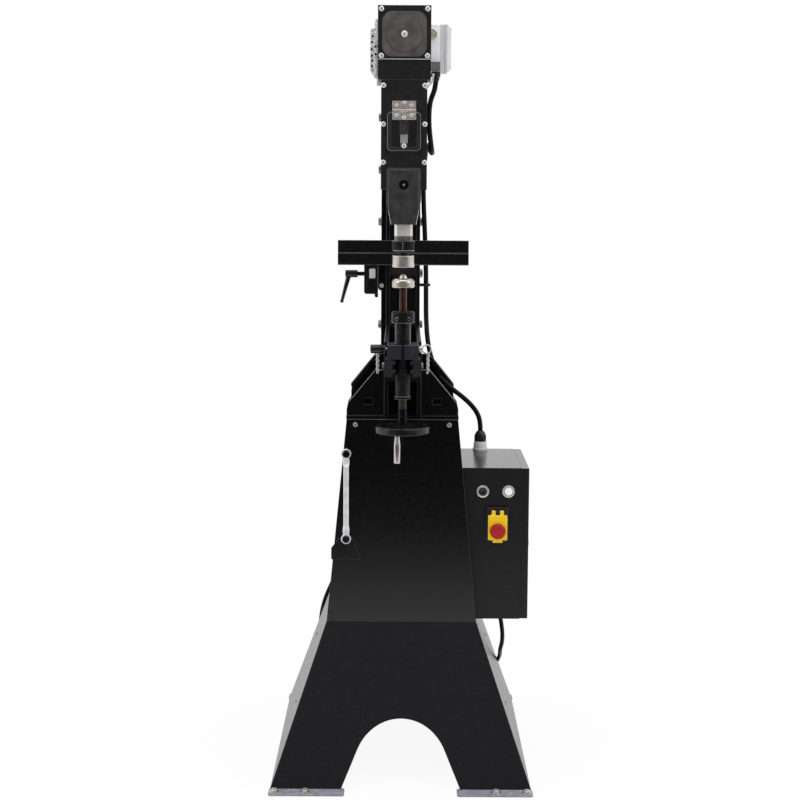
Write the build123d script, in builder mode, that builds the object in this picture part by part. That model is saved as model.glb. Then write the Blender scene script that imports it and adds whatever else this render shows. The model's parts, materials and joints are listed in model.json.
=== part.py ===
"""Power hammer on a sheet-steel stand: C-frame, crank-driven ram, screw-lifted lower die and work stop.

Millimetres. Z is up from the floor, -Y is the operator's side and +X is the control-box side.
The origin is on the floor at the middle of the base.
"""
import os
from math import cos, pi, radians, sin, tan

from build123d import *

os.makedirs("parts", exist_ok=True)

# Base skirt, feet and stand body
base_width = 620.0
base_depth = 808.0
foot_thickness = 4.0
foot_lip = 39.0
foot_length = 178.0
foot_depth = 46.0
foot_corner = 7.0
panel_inset = 2.5
skirt_top = 368.0
skirt_wall = 5.0
body_width_low = 362.0
body_width_top = 267.0
body_depth = 400.0
body_top = 860.0
body_wall = 4.0
seam = 0.3
arch_top = 154.0
arch_radius = 113.0
arch_lean = 24.0
top_plate_thickness = 10.0
gusset_height = 110.0
gusset_top_width = 129.0
gusset_thickness = 8.0

# Bolts and screws
bolt_radius = 6.0
bolt_clearance = 0.5
bolt_flats = 19.0
bolt_head = 8.0
foot_bolt_radius = 4.0
foot_bolt_flats = 13.0
foot_bolt_head = 5.5
washer_radius = 12.0
washer_thickness = 2.5
screw_radius = 3.0
screw_head_radius = 6.2
screw_head = 3.4

# C-frame
die_y = -275.0
throat_depth = 480.0
column_depth = 140.0
frame_gap = 68.0
plate_thickness = 10.0
arm_setback = 43.0
lower_arm_top = 1050.0
upper_arm_bottom = 1405.0
upper_arm_top = 1610.0
throat_fillet = 45.0
column_bolt_pitch = 135.0
mast_thickness = 13.0
mast_width = 50.0

# Head, drive and motor
head_width = 105.0
head_reach = 37.0
head_top = 1654.0
sheet = 4.0
cover_thickness = 3.0
drive_width = 120.6
drive_top = 1819.0
drive_back = -200.0
drive_cover_thickness = 6.0
crank_z = 1735.0
crank_throw = 6.0
shaft_radius = 12.0
crank_disc_radius = 32.0
bearing_radius = 26.0
running_clearance = 0.05
motor_radius = 76.0
motor_fin = 16.0
motor_fins = 40
motor_side = 79.0
motor_back = 110.0
fan_cover_depth = 48.0
terminal_out = 95.0
terminal_height = 108.0
terminal_depth = 110.0

# Ram, dies and lift screw
ram_width = 42.0
ram_chamfer = 6.0
ram_bottom = 1289.0
ram_shoulder = 1490.0
neck_radius = 9.5
wrist_z = 1542.0
wrist_pin_radius = 5.0
rod_width = 21.0
guide_width = 79.0
guide_bottom = 1327.0
guide_lip = 50.0
slide_clearance = 0.3
die_radius = 26.0
upper_die_bottom = 1227.5
die_gap = 15.8
holder_height = 26.5
spindle_radius = 18.5
thread_pitch = 5.0
clamp_top = 1049.0
clamp_height = 33.0
clamp_width = 73.0
cheek_bottom = 975.0
wheel_radius = 65.0
wheel_top = 857.0
wheel_rim = 17.0
handle_radius = 7.7
handle_length = 64.0

# Work stop
stop_length = 313.0
stop_height = 59.0
rail_width = 14.0
rail_height = 22.0
rail_bottom = 1196.0
rail_gap = 9.5
carriage_length = 60.0

# Control box
box_front = -178.0
box_depth = 306.0
box_bottom = 369.0
box_top = 741.0
box_right = 288.0
box_wall = 2.5
door_thickness = 19.0
door_gap = 0.5

# Worked-out places
frame_half = frame_gap / 2 + plate_thickness
column_front = die_y + throat_depth
column_back = column_front + column_depth
column_bolt_y = column_front + column_depth / 2
arm_front = die_y + arm_setback
frame_bottom = body_top + top_plate_thickness
head_front = die_y - head_reach
head_bottom = upper_arm_bottom + 1
cover_front = head_front - cover_thickness
lean = (body_width_low - body_width_top) / 2 / (body_top - skirt_top)


def body_half(z):
    """Half the stand body's width at a height."""
    return body_width_top / 2 + (body_top - z) * lean


def hexagon_radius(flats):
    """Corner radius of a hexagon from its width across flats."""
    return flats / 2 / cos(pi / 6)


# Base skirt: four sloping panels, mitred at the corners
skirt_low_x = base_width / 2 - panel_inset
skirt_low_y = base_depth / 2 - foot_lip
run_x = skirt_low_x - body_width_low / 2
run_y = skirt_low_y - body_depth / 2
wall_y = skirt_wall * run_y / run_x
with BuildPart() as skirt:
    with BuildSketch(Plane.XY.offset(foot_thickness)):
        Rectangle(2 * skirt_low_x, 2 * skirt_low_y)
    with BuildSketch(Plane.XY.offset(skirt_top)):
        Rectangle(body_width_low, body_depth)
    loft(ruled=True)
    with BuildSketch(Plane.XY.offset(foot_thickness)):
        Rectangle(2 * (skirt_low_x - skirt_wall), 2 * (skirt_low_y - wall_y))
    with BuildSketch(Plane.XY.offset(skirt_top)):
        Rectangle(body_width_low - 2 * skirt_wall, body_depth - 2 * wall_y)
    loft(ruled=True, mode=Mode.SUBTRACT)

# Plan of the two side panels, drawn past the walls along the corner mitres
spill = 0.1
with BuildSketch() as side_plan:
    with BuildLine():
        Polyline(
            (skirt_low_x + spill * run_x, -skirt_low_y - spill * run_y),
            (body_width_low / 2 - spill * run_x, -body_depth / 2 + spill * run_y),
            (body_width_low / 2 - spill * run_x, body_depth / 2 - spill * run_y),
            (skirt_low_x + spill * run_x, skirt_low_y + spill * run_y),
            close=True,
        )
    make_face()
    mirror(about=Plane.YZ)

with BuildPart() as base_side_panels:
    add(skirt.part)
    extrude(side_plan.sketch, amount=skirt_top, mode=Mode.INTERSECT)
base_side_panels.part.label = "base_side_panels"
export_step(base_side_panels.part, "parts/base_side_panels.step")

# Arch through the front and rear panels: a round top on two tangent legs
arch_centre = arch_top - arch_radius
arch_touch_x = arch_radius * cos(radians(arch_lean))
arch_touch_z = arch_centre + arch_radius * sin(radians(arch_lean))
arch_foot_x = arch_touch_x + arch_touch_z * tan(radians(arch_lean))
with BuildPart() as base_end_panels:
    add(skirt.part)
    extrude(side_plan.sketch, amount=skirt_top, mode=Mode.SUBTRACT)
    with BuildSketch(Plane.XZ):
        with BuildLine():
            Line((-arch_foot_x, 0), (-arch_touch_x, arch_touch_z))
            ThreePointArc((-arch_touch_x, arch_touch_z), (0, arch_top), (arch_touch_x, arch_touch_z))
            Polyline((arch_touch_x, arch_touch_z), (arch_foot_x, 0), (-arch_foot_x, 0))
        make_face()
    extrude(amount=base_depth, both=True, mode=Mode.SUBTRACT)
base_end_panels.part.label = "base_end_panels"
export_step(base_end_panels.part, "parts/base_end_panels.step")

# Foot plates under the skirt's corners, each with two bolt holes
bolt_edge_y = 18.0
bolt_edges_x = (14.0, 86.0)
foot_bolt_spots = []
for edge_x in bolt_edges_x:
    for side_x in (-1, 1):
        for side_y in (-1, 1):
            spot_x = side_x * (base_width / 2 - edge_x)
            spot_y = side_y * (base_depth / 2 - bolt_edge_y)
            foot_bolt_spots.append((spot_x, spot_y))

with BuildPart() as foot_plates:
    with BuildSketch():
        with GridLocations(base_width - foot_length, base_depth - foot_depth, 2, 2):
            RectangleRounded(foot_length, foot_depth, foot_corner)
        with Locations(*foot_bolt_spots):
            Circle(foot_bolt_radius + bolt_clearance, mode=Mode.SUBTRACT)
    extrude(amount=foot_thickness)
foot_plates.part.label = "foot_plates"
export_step(foot_plates.part, "parts/foot_plates.step")

# Hex foot bolts, each over a plain washer
seat = 0.05
foot_bolt_short = 1.0
washer_top = foot_thickness + washer_thickness
with BuildPart() as foot_bolts:
    with BuildSketch(Plane.XY.offset(foot_thickness)):
        with Locations(*foot_bolt_spots):
            Circle(washer_radius)
            Circle(foot_bolt_radius + bolt_clearance, mode=Mode.SUBTRACT)
    extrude(amount=washer_thickness)
    with BuildSketch(Plane.XY.offset(foot_bolt_short)):
        with Locations(*foot_bolt_spots):
            Circle(foot_bolt_radius)
    extrude(amount=washer_top + seat + foot_bolt_head / 2 - foot_bolt_short)
    with BuildSketch(Plane.XY.offset(washer_top + seat)):
        with Locations(*foot_bolt_spots):
            RegularPolygon(hexagon_radius(foot_bolt_flats), 6)
    extrude(amount=foot_bolt_head)
foot_bolts.part.label = "foot_bolts"
export_step(foot_bolts.part, "parts/foot_bolts.step")

# Stand body: front and rear panels with the sloping sides between them
wall_x = body_wall / cos(lean)
body_screw_inset = 21.5
body_screw_drop = 12.0
body_screw_x = body_width_top / 2 - body_screw_inset
body_screw_z = body_top - body_screw_drop
with BuildPart() as stand_panels:
    with BuildSketch(Plane.XZ.offset(body_depth / 2)):
        with BuildLine():
            Polyline(
                (-body_width_low / 2, skirt_top),
                (body_width_low / 2, skirt_top),
                (body_width_top / 2, body_top),
                (-body_width_top / 2, body_top),
                close=True,
            )
        make_face()
        with Locations((-body_screw_x, body_screw_z), (body_screw_x, body_screw_z)):
            Circle(screw_radius + bolt_clearance, mode=Mode.SUBTRACT)
    extrude(amount=-body_wall)
    with BuildSketch(Plane.XZ.offset(body_depth / 2 - body_wall - seam)):
        with BuildLine():
            Polyline(
                (body_width_low / 2, skirt_top),
                (body_width_top / 2, body_top),
                (body_width_top / 2 - wall_x, body_top),
                (body_width_low / 2 - wall_x, skirt_top),
                close=True,
            )
        make_face()
    extrude(amount=-(body_depth - 2 * body_wall - 2 * seam))
    mirror(about=Plane.YZ)
    mirror(about=Plane.XZ)
stand_panels.part.label = "stand_panels"
export_step(stand_panels.part, "parts/stand_panels.step")

# Top plate of the stand, with a screwed lip inside the front and rear panels
lip_height = 25.0
lip_thickness = 8.0
lip_y = body_depth / 2 - body_wall - lip_thickness / 2
lip_width = 2 * (body_half(body_top) - 2 * wall_x)
with BuildPart() as top_plate:
    with Locations((0, 0, body_top + top_plate_thickness / 2)):
        Box(body_width_top + 2, body_depth, top_plate_thickness)
    with Locations((0, -lip_y, body_top - lip_height / 2), (0, lip_y, body_top - lip_height / 2)):
        Box(lip_width, lip_thickness, lip_height)
    with BuildSketch(Plane.XZ):
        with Locations((-body_screw_x, body_screw_z), (body_screw_x, body_screw_z)):
            Circle(screw_radius + running_clearance)
    extrude(amount=body_depth, both=True, mode=Mode.SUBTRACT)
top_plate.part.label = "top_plate"
export_step(top_plate.part, "parts/top_plate.step")

# Gusset wings: cross plates welded to the frame's sides at the front and rear of the stand
wing_edge = 15.0
wing_chamfer = 15.0
wing_slot_x = 82.0
wing_slot_rise = 34.0
wing_slot_width = 22.0
wing_slot_height = 14.0
wing_slant = 3.0
wing_slot_z = frame_bottom + wing_slot_rise
with BuildPart() as gusset_wings:
    with BuildSketch(Plane.XZ.offset(body_depth / 2)):
        with BuildLine():
            Polyline(
                (frame_half, frame_bottom),
                (body_width_top / 2, frame_bottom),
                (body_width_top / 2, frame_bottom + wing_edge),
                (body_width_top / 2 - wing_slant, frame_bottom + wing_edge + wing_chamfer),
                (gusset_top_width / 2, frame_bottom + gusset_height),
                (frame_half, frame_bottom + gusset_height),
                close=True,
            )
        make_face()
        with Locations((wing_slot_x, wing_slot_z)):
            Rectangle(wing_slot_width, wing_slot_height, mode=Mode.SUBTRACT)
    extrude(amount=-gusset_thickness)
    mirror(about=Plane.YZ)
    mirror(about=Plane.XZ)
gusset_wings.part.label = "gusset_wings"
export_step(gusset_wings.part, "parts/gusset_wings.step")

# C-frame plates with their through-bolt holes
column_bolt_count = 5
arm_bolt_ys = (-150.0, 60.0)
arm_bolt_drop = 90.0
column_bolts = []
for step in range(column_bolt_count):
    column_bolts.append((column_bolt_y, lower_arm_top + step * column_bolt_pitch))
arm_bolts = []
for arm_y in arm_bolt_ys:
    arm_bolts.append((arm_y, lower_arm_top - arm_bolt_drop))
    arm_bolts.append((arm_y, (upper_arm_bottom + upper_arm_top) / 2))
frame_corner = 60.0
with BuildPart() as frame_plates:
    with BuildSketch(Plane.YZ.offset(frame_gap / 2)) as c_outline:
        with BuildLine():
            Polyline(
                (arm_front, frame_bottom),
                (column_back, frame_bottom),
                (column_back, upper_arm_top - frame_corner),
                (column_back - frame_corner, upper_arm_top),
                (arm_front, upper_arm_top),
                (arm_front, upper_arm_bottom),
                (column_front, upper_arm_bottom),
                (column_front, lower_arm_top),
                (arm_front, lower_arm_top),
                close=True,
            )
        make_face()
        throat_corners = c_outline.vertices().filter_by_position(
            Axis.Y, column_front - 1, column_front + 1
        )
        fillet(throat_corners, throat_fillet)
        with Locations(*column_bolts, *arm_bolts):
            Circle(bolt_radius + bolt_clearance, mode=Mode.SUBTRACT)
    extrude(amount=plate_thickness)
    mirror(about=Plane.YZ)
frame_plates.part.label = "frame_plates"
export_step(frame_plates.part, "parts/frame_plates.step")

# Spacer tubes between the frame plates, and the web that closes the column at the rear
spacer_radius = 15.0
web_thickness = 8.0
web_inset = 6.0
web_y = column_back - web_inset - web_thickness / 2
with BuildPart() as frame_spacers:
    with BuildSketch(Plane.YZ.offset(-frame_gap / 2)):
        with Locations(*column_bolts, *arm_bolts):
            Circle(spacer_radius)
            Circle(bolt_radius + bolt_clearance, mode=Mode.SUBTRACT)
    extrude(amount=frame_gap)
    with Locations((0, web_y, (frame_bottom + upper_arm_bottom) / 2)):
        Box(frame_gap, web_thickness, upper_arm_bottom - frame_bottom)
frame_spacers.part.label = "frame_spacers"
export_step(frame_spacers.part, "parts/frame_spacers.step")

# Through bolts: the column's also hold the mast bar on the left
mast_outside = frame_half + mast_thickness
with BuildPart() as frame_bolts:
    for spots, reach in ((column_bolts, mast_outside), (arm_bolts, frame_half)):
        with BuildSketch(Plane.YZ.offset(-reach)):
            with Locations(*spots):
                RegularPolygon(hexagon_radius(bolt_flats), 6)
        extrude(amount=-bolt_head)
        with BuildSketch(Plane.YZ.offset(-reach)):
            with Locations(*spots):
                Circle(bolt_radius)
        extrude(amount=reach + frame_half)
        with BuildSketch(Plane.YZ.offset(frame_half)):
            with Locations(*spots):
                RegularPolygon(hexagon_radius(bolt_flats), 6)
        extrude(amount=bolt_head)
frame_bolts.part.label = "frame_bolts"
export_step(frame_bolts.part, "parts/frame_bolts.step")

# Mast bar on the column's left side, with the block that carries the stop rail
mast_overlap = 25.0
mast_bottom = lower_arm_top - mast_overlap
rail_x = -(mast_outside + rail_gap + rail_width / 2)
rail_z = rail_bottom + rail_height / 2
rail_seat_length = 70.0
rail_seat_height = 50.0
with BuildPart() as mast_bar:
    with BuildSketch(Plane.YZ.offset(-mast_outside)):
        with Locations((column_bolt_y, (mast_bottom + upper_arm_top) / 2)):
            Rectangle(mast_width, upper_arm_top - mast_bottom)
        with Locations(*column_bolts):
            Circle(bolt_radius + bolt_clearance, mode=Mode.SUBTRACT)
    extrude(amount=mast_thickness)
    with BuildSketch(Plane.YZ.offset(-mast_outside - rail_gap)):
        with Locations((column_bolt_y, rail_z)):
            Rectangle(rail_seat_length, rail_seat_height)
        with Locations(*column_bolts):
            Circle(hexagon_radius(bolt_flats) + 1, mode=Mode.SUBTRACT)
    extrude(amount=rail_gap)
mast_bar.part.label = "mast_bar"
export_step(mast_bar.part, "parts/mast_bar.step")

# Head housing: a folded box, open at the front and at the top
ram_hole_play = 4.0
ram_hole = ram_width + ram_hole_play
head_back = arm_front
bottom_sheet = 6.0
with BuildPart() as head_housing:
    with BuildSketch(Plane.XY.offset(head_bottom)):
        with Locations((0, (head_front + head_back) / 2)):
            Rectangle(head_width, head_back - head_front)
    extrude(amount=head_top - head_bottom)
    with BuildSketch(Plane.XY.offset(head_bottom + bottom_sheet)):
        with Locations((0, (head_front + head_back - sheet) / 2)):
            Rectangle(head_width - 2 * sheet, head_back - sheet - head_front)
    extrude(amount=head_top, mode=Mode.SUBTRACT)
    with BuildSketch(Plane.XY.offset(head_bottom)):
        with Locations((0, die_y)):
            Rectangle(ram_hole, ram_hole)
    extrude(amount=bottom_sheet, mode=Mode.SUBTRACT)
head_housing.part.label = "head_housing"
export_step(head_housing.part, "parts/head_housing.step")

# Head front cover with the window opening and six screw holes
window_width = 76.0
window_height = 87.0
window_bottom = 1494.0
window_rim = 9.0
opening_corner = 6.0
window_z = window_bottom + window_height / 2
cover_screw_inset = 5.5
cover_screw_x = head_width / 2 - cover_screw_inset
cover_screw_drops = (13.0, 100.0, 186.0)
cover_screw_spots = []
for drop in cover_screw_drops:
    cover_screw_spots.append((-cover_screw_x, head_top - drop))
    cover_screw_spots.append((cover_screw_x, head_top - drop))
opening_width = window_width - 2 * window_rim
opening_height = window_height - 2 * window_rim
with BuildPart() as head_cover:
    with BuildSketch(Plane.XZ.offset(-head_front)):
        with Locations((0, (head_bottom + head_top) / 2)):
            Rectangle(head_width, head_top - head_bottom)
        with Locations((0, window_z)):
            RectangleRounded(opening_width, opening_height, opening_corner, mode=Mode.SUBTRACT)
        with Locations(*cover_screw_spots):
            Circle(screw_radius + bolt_clearance, mode=Mode.SUBTRACT)
    extrude(amount=cover_thickness)
head_cover.part.label = "head_cover"
export_step(head_cover.part, "parts/head_cover.step")

# Drive housing: crank case over the head, open at the front behind its cover
drive_bottom = head_top
drive_cover_size = 120.0
drive_cover_z = drive_top - drive_cover_size / 2
drive_rear_wall = 8.0
drive_mouth_land = 14.0
corner_screw_inset = 8.0
rod_slot_width = 60.0
rod_slot_depth = 50.0
drive_mouth = drive_cover_size - 2 * drive_mouth_land
corner_screw = drive_cover_size / 2 - corner_screw_inset
drive_screw_spots = []
for side_x in (-1, 1):
    for side_z in (-1, 1):
        drive_screw_spots.append((side_x * corner_screw, drive_cover_z + side_z * corner_screw))
with BuildPart() as drive_housing:
    with BuildSketch(Plane.XY.offset(drive_bottom)):
        with Locations((0, (head_front + drive_back) / 2)):
            Rectangle(drive_width, drive_back - head_front)
    extrude(amount=drive_top - drive_bottom)
    with BuildSketch(Plane.XY.offset(drive_bottom + sheet)):
        with Locations((0, (head_front + sheet + drive_back - drive_rear_wall) / 2)):
            Rectangle(drive_width - 2 * sheet, drive_back - drive_rear_wall - head_front - sheet)
    extrude(amount=drive_top - drive_bottom - 2 * sheet, mode=Mode.SUBTRACT)
    with BuildSketch(Plane.XZ.offset(-head_front)):
        with Locations((0, drive_cover_z)):
            Rectangle(drive_mouth, drive_mouth)
    extrude(amount=-sheet, mode=Mode.SUBTRACT)
    with BuildSketch(Plane.XZ.offset(-head_front)):
        with Locations(*drive_screw_spots):
            Circle(screw_radius + running_clearance)
    extrude(amount=-sheet, mode=Mode.SUBTRACT)
    with BuildSketch(Plane.XY.offset(drive_bottom)):
        with Locations((0, die_y)):
            Rectangle(rod_slot_width, rod_slot_depth)
    extrude(amount=sheet, mode=Mode.SUBTRACT)
    with BuildSketch(Plane.XZ.offset(-drive_back)):
        with Locations((0, crank_z)):
            Circle(bearing_radius)
    extrude(amount=drive_rear_wall, mode=Mode.SUBTRACT)
drive_housing.part.label = "drive_housing"
export_step(drive_housing.part, "parts/drive_housing.step")

# Drive cover: square plate with a raised field and a round boss
field_size = 100.0
field_corner = 22.0
field_rise = 3.0
boss_radius = 41.0
boss_rise = 2.0
field_drop = 4.0
field_z = drive_cover_z - field_drop
with BuildPart() as drive_cover:
    with BuildSketch(Plane.XZ.offset(-head_front)):
        with Locations((0, drive_cover_z)):
            Rectangle(drive_width, drive_cover_size)
        with Locations(*drive_screw_spots):
            Circle(screw_radius + bolt_clearance, mode=Mode.SUBTRACT)
    extrude(amount=drive_cover_thickness)
    with BuildSketch(Plane.XZ.offset(-head_front + drive_cover_thickness)):
        with Locations((0, field_z)):
            RectangleRounded(field_size, field_size, field_corner)
        with Locations(*drive_screw_spots):
            Circle(screw_head_radius + 2, mode=Mode.SUBTRACT)
    extrude(amount=field_rise)
    with BuildSketch(Plane.XZ.offset(-head_front + drive_cover_thickness + field_rise)):
        with Locations((0, field_z)):
            Circle(boss_radius)
    extrude(amount=boss_rise)
drive_cover.part.label = "drive_cover"
export_step(drive_cover.part, "parts/drive_cover.step")

# Button-head screws of the head cover, the drive cover and the stand panels
head_taper = 20.0
boss_face = -head_front + drive_cover_thickness + field_rise + boss_rise
body_screw_spots = [(-body_screw_x, body_screw_z), (body_screw_x, body_screw_z)]
screw_rows = (
    (-cover_front, cover_thickness, cover_screw_spots),
    (-head_front + drive_cover_thickness, drive_cover_thickness + sheet - 1, drive_screw_spots),
    (body_depth / 2, body_wall + lip_thickness - 1, body_screw_spots),
)
with BuildPart() as cover_screws:
    for face, depth, spots in screw_rows:
        with BuildSketch(Plane.XZ.offset(face)):
            with Locations(*spots):
                Circle(screw_head_radius)
        extrude(amount=screw_head, taper=head_taper)
        with BuildSketch(Plane.XZ.offset(face)):
            with Locations(*spots):
                Circle(screw_radius)
        extrude(amount=-depth)
    with BuildSketch(Plane.XZ.offset(boss_face)):
        with Locations((0, field_z)):
            Circle(screw_head_radius + 1)
    extrude(amount=screw_head, taper=head_taper)
    with BuildSketch(Plane.XZ.offset(-body_depth / 2)):
        with Locations(*body_screw_spots):
            Circle(screw_head_radius)
    extrude(amount=-screw_head, taper=head_taper)
    with BuildSketch(Plane.XZ.offset(-body_depth / 2)):
        with Locations(*body_screw_spots):
            Circle(screw_radius)
    extrude(amount=body_wall + lip_thickness - 1)
cover_screws.part.label = "cover_screws"
export_step(cover_screws.part, "parts/cover_screws.step")

# Motor: round neck on the crank case, then a finned barrel with flat sides
motor_neck_radius = 58.0
motor_neck_length = 162.0
motor_front = drive_back
fin_width = 2.6
terminal_y = -95.0
rear_bearing_depth = 15.0
with BuildPart() as motor_body:
    with BuildSketch(Plane.XZ.offset(-motor_front)):
        with Locations((0, crank_z)):
            Circle(motor_neck_radius)
    extrude(amount=-motor_neck_length)
    with BuildSketch(Plane.XZ.offset(-motor_front - motor_neck_length)):
        with Locations((0, crank_z)):
            Circle(motor_radius)
            with PolarLocations(motor_radius + motor_fin / 2 - 1, motor_fins):
                Rectangle(motor_fin + 2, fin_width)
        with Locations((-motor_side - motor_fin, crank_z), (motor_side + motor_fin, crank_z)):
            Rectangle(2 * motor_fin, 2 * motor_radius, mode=Mode.SUBTRACT)
    extrude(amount=-(motor_back - motor_front - motor_neck_length))
    with BuildSketch(Plane.XZ.offset(-motor_front)):
        with Locations((0, crank_z)):
            Circle(shaft_radius + 1)
    extrude(amount=-(motor_back - motor_front), mode=Mode.SUBTRACT)
    with BuildSketch(Plane.XZ.offset(-motor_back)):
        with Locations((0, crank_z)):
            Circle(bearing_radius)
    extrude(amount=rear_bearing_depth, mode=Mode.SUBTRACT)
motor_body.part.label = "motor_body"
export_step(motor_body.part, "parts/motor_body.step")

# Ball bearings of the crank shaft, as plain rings
with BuildPart() as shaft_bearings:
    for bearing_y, bearing_depth in ((drive_back, drive_rear_wall), (motor_back, rear_bearing_depth)):
        with BuildSketch(Plane.XZ.offset(-bearing_y)):
            with Locations((0, crank_z)):
                Circle(bearing_radius - running_clearance)
                Circle(shaft_radius + running_clearance, mode=Mode.SUBTRACT)
        extrude(amount=bearing_depth)
shaft_bearings.part.label = "shaft_bearings"
export_step(shaft_bearings.part, "parts/shaft_bearings.step")

# Crank: motor shaft with a disc and a pin stub that stops short of the rod
rod_thickness = 16.0
pin_gap = 0.5
disc_thickness = 14.0
pin_length = 5.0
disc_front = die_y + rod_thickness / 2 + pin_length
pin_radius = 10.0
shaft_tail = 28.0
shaft_end = motor_back + shaft_tail
with BuildPart() as crank_shaft:
    with BuildSketch(Plane.XZ.offset(-disc_front)):
        with Locations((0, crank_z)):
            Circle(crank_disc_radius)
    extrude(amount=-disc_thickness)
    with BuildSketch(Plane.XZ.offset(-disc_front - disc_thickness)):
        with Locations((0, crank_z)):
            Circle(shaft_radius)
    extrude(amount=-(shaft_end - disc_front - disc_thickness))
    with BuildSketch(Plane.XZ.offset(-disc_front)):
        with Locations((0, crank_z + crank_throw)):
            Circle(pin_radius)
    extrude(amount=pin_length - pin_gap)
crank_shaft.part.label = "crank_shaft"
export_step(crank_shaft.part, "parts/crank_shaft.step")

# Cooling fan on the shaft's rear end
fan_radius = 62.0
fan_depth = 20.0
fan_gap = 6.0
fan_front = motor_back + fan_gap
fan_blades = 9
fan_hub_radius = 24.0
blade_root = 22.0
blade_thickness = 3.0
with BuildPart() as motor_fan:
    with BuildSketch(Plane.XZ.offset(-fan_front)):
        with Locations((0, crank_z)):
            Circle(fan_hub_radius)
            Circle(shaft_radius + running_clearance, mode=Mode.SUBTRACT)
    extrude(amount=-fan_depth)
    with BuildSketch(Plane.XZ.offset(-fan_front)):
        with Locations((0, crank_z)):
            with PolarLocations((fan_radius + blade_root) / 2, fan_blades):
                Rectangle(fan_radius - blade_root, blade_thickness)
    extrude(amount=-fan_depth)
motor_fan.part.label = "motor_fan"
export_step(motor_fan.part, "parts/motor_fan.step")

# Fan cover: a pressed cup with air slots in its end
cup_radius = motor_side - 1
cup_wall = 2.0
cup_round = 8.0
cup_shoulder = 7.0
cup_land = 10.0
air_slot_width = 5.0
air_slot_rings = ((28.0, 10, 8.4), (44.0, 14, 9.8), (60.0, 18, 11.2))
with BuildPart() as fan_cover:
    with BuildSketch(Plane.XZ.offset(-motor_back)):
        with Locations((0, crank_z)):
            Circle(cup_radius)
    extrude(amount=-fan_cover_depth)
    fillet(fan_cover.edges().sort_by(Axis.Y)[-1], cup_round)
    with BuildSketch(Plane.XZ.offset(-motor_back)):
        with Locations((0, crank_z)):
            Circle(cup_radius - cup_wall)
    extrude(amount=-(fan_cover_depth - cup_wall - cup_shoulder), mode=Mode.SUBTRACT)
    with BuildSketch(Plane.XZ.offset(-motor_back)):
        with Locations((0, crank_z)):
            Circle(cup_radius - cup_land)
    extrude(amount=-(fan_cover_depth - cup_wall), mode=Mode.SUBTRACT)
    with BuildSketch(Plane.XZ.offset(-motor_back)):
        with Locations((0, crank_z)):
            for slot_radius, count, length in air_slot_rings:
                with PolarLocations(slot_radius, count):
                    Rectangle(air_slot_width, length)
    extrude(amount=-fan_cover_depth, mode=Mode.SUBTRACT)
fan_cover.part.label = "fan_cover"
export_step(fan_cover.part, "parts/fan_cover.step")

# Terminal box on the motor's right side, with a chamfered lid
terminal_in = 50.0
terminal_rise = 2.0
terminal_z = crank_z + terminal_rise
lid_thickness = 15.0
lid_overhang = 0.5
lid_chamfer = 9.0
saddle_gap = 0.2
saddle_radius = motor_neck_radius + saddle_gap
with BuildPart() as terminal_box:
    with Locations(((terminal_in + terminal_out) / 2, terminal_y, terminal_z)):
        Box(terminal_out - terminal_in, terminal_depth, terminal_height)
    with BuildSketch(Plane.XZ.offset(-terminal_y)):
        with Locations((0, crank_z)):
            Circle(saddle_radius)
    extrude(amount=terminal_depth, both=True, mode=Mode.SUBTRACT)
    with Locations((terminal_out + seam + lid_thickness / 2, terminal_y, terminal_z)):
        Box(lid_thickness, terminal_depth + 2 * lid_overhang, terminal_height + 2 * lid_overhang)
    chamfer(terminal_box.faces().sort_by(Axis.X)[-1].edges(), lid_chamfer)
terminal_box.part.label = "terminal_box"
export_step(terminal_box.part, "parts/terminal_box.step")

# Ram guide under the head, with a front lip over the cover
guide_proud = 7.0
guide_front = cover_front - guide_proud
guide_back = head_back - sheet
guide_taper = 54.0
guide_foot_width = 58.0
guide_top = head_bottom
ram_fit = ram_width + 2 * running_clearance
grease_hole_radius = 10.5
grease_hole_depth = 4.0
grease_rise = 11.0
grease_z = guide_top + grease_rise
lip_overlap = 5.0
lip_corner = 7.0
guide_chamfer = 5.0
with BuildPart() as ram_guide:
    with BuildSketch(Plane.XZ.offset(-guide_back)):
        with BuildLine():
            Polyline(
                (-guide_foot_width / 2, guide_bottom),
                (guide_foot_width / 2, guide_bottom),
                (guide_width / 2, guide_bottom + guide_taper),
                (guide_width / 2, guide_top),
                (-guide_width / 2, guide_top),
                (-guide_width / 2, guide_bottom + guide_taper),
                close=True,
            )
        make_face()
    extrude(amount=guide_back - guide_front)
    with BuildSketch(Plane.XZ.offset(-cover_front)) as lip_sketch:
        with Locations((0, guide_top + guide_lip / 2 - lip_overlap)):
            Rectangle(guide_width, guide_lip + 2 * lip_overlap)
        fillet(lip_sketch.vertices().group_by(Axis.Z)[-1], lip_corner)
    extrude(amount=cover_front - guide_front)
    with BuildSketch(Plane.XY.offset(guide_bottom)) as guide_bore:
        with Locations((0, die_y)):
            Rectangle(ram_fit, ram_fit)
        chamfer(guide_bore.vertices(), ram_chamfer)
    extrude(amount=guide_top - guide_bottom, mode=Mode.SUBTRACT)
    with BuildSketch(Plane.XZ.offset(-guide_front)):
        with Locations((0, grease_z)):
            Circle(grease_hole_radius)
    extrude(amount=-grease_hole_depth, mode=Mode.SUBTRACT)
    front_edges = ram_guide.faces().sort_by(Axis.Y)[0].edges().filter_by(Axis.Z)
    chamfer(front_edges, guide_chamfer)
ram_guide.part.label = "ram_guide"
export_step(ram_guide.part, "parts/ram_guide.step")

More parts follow.
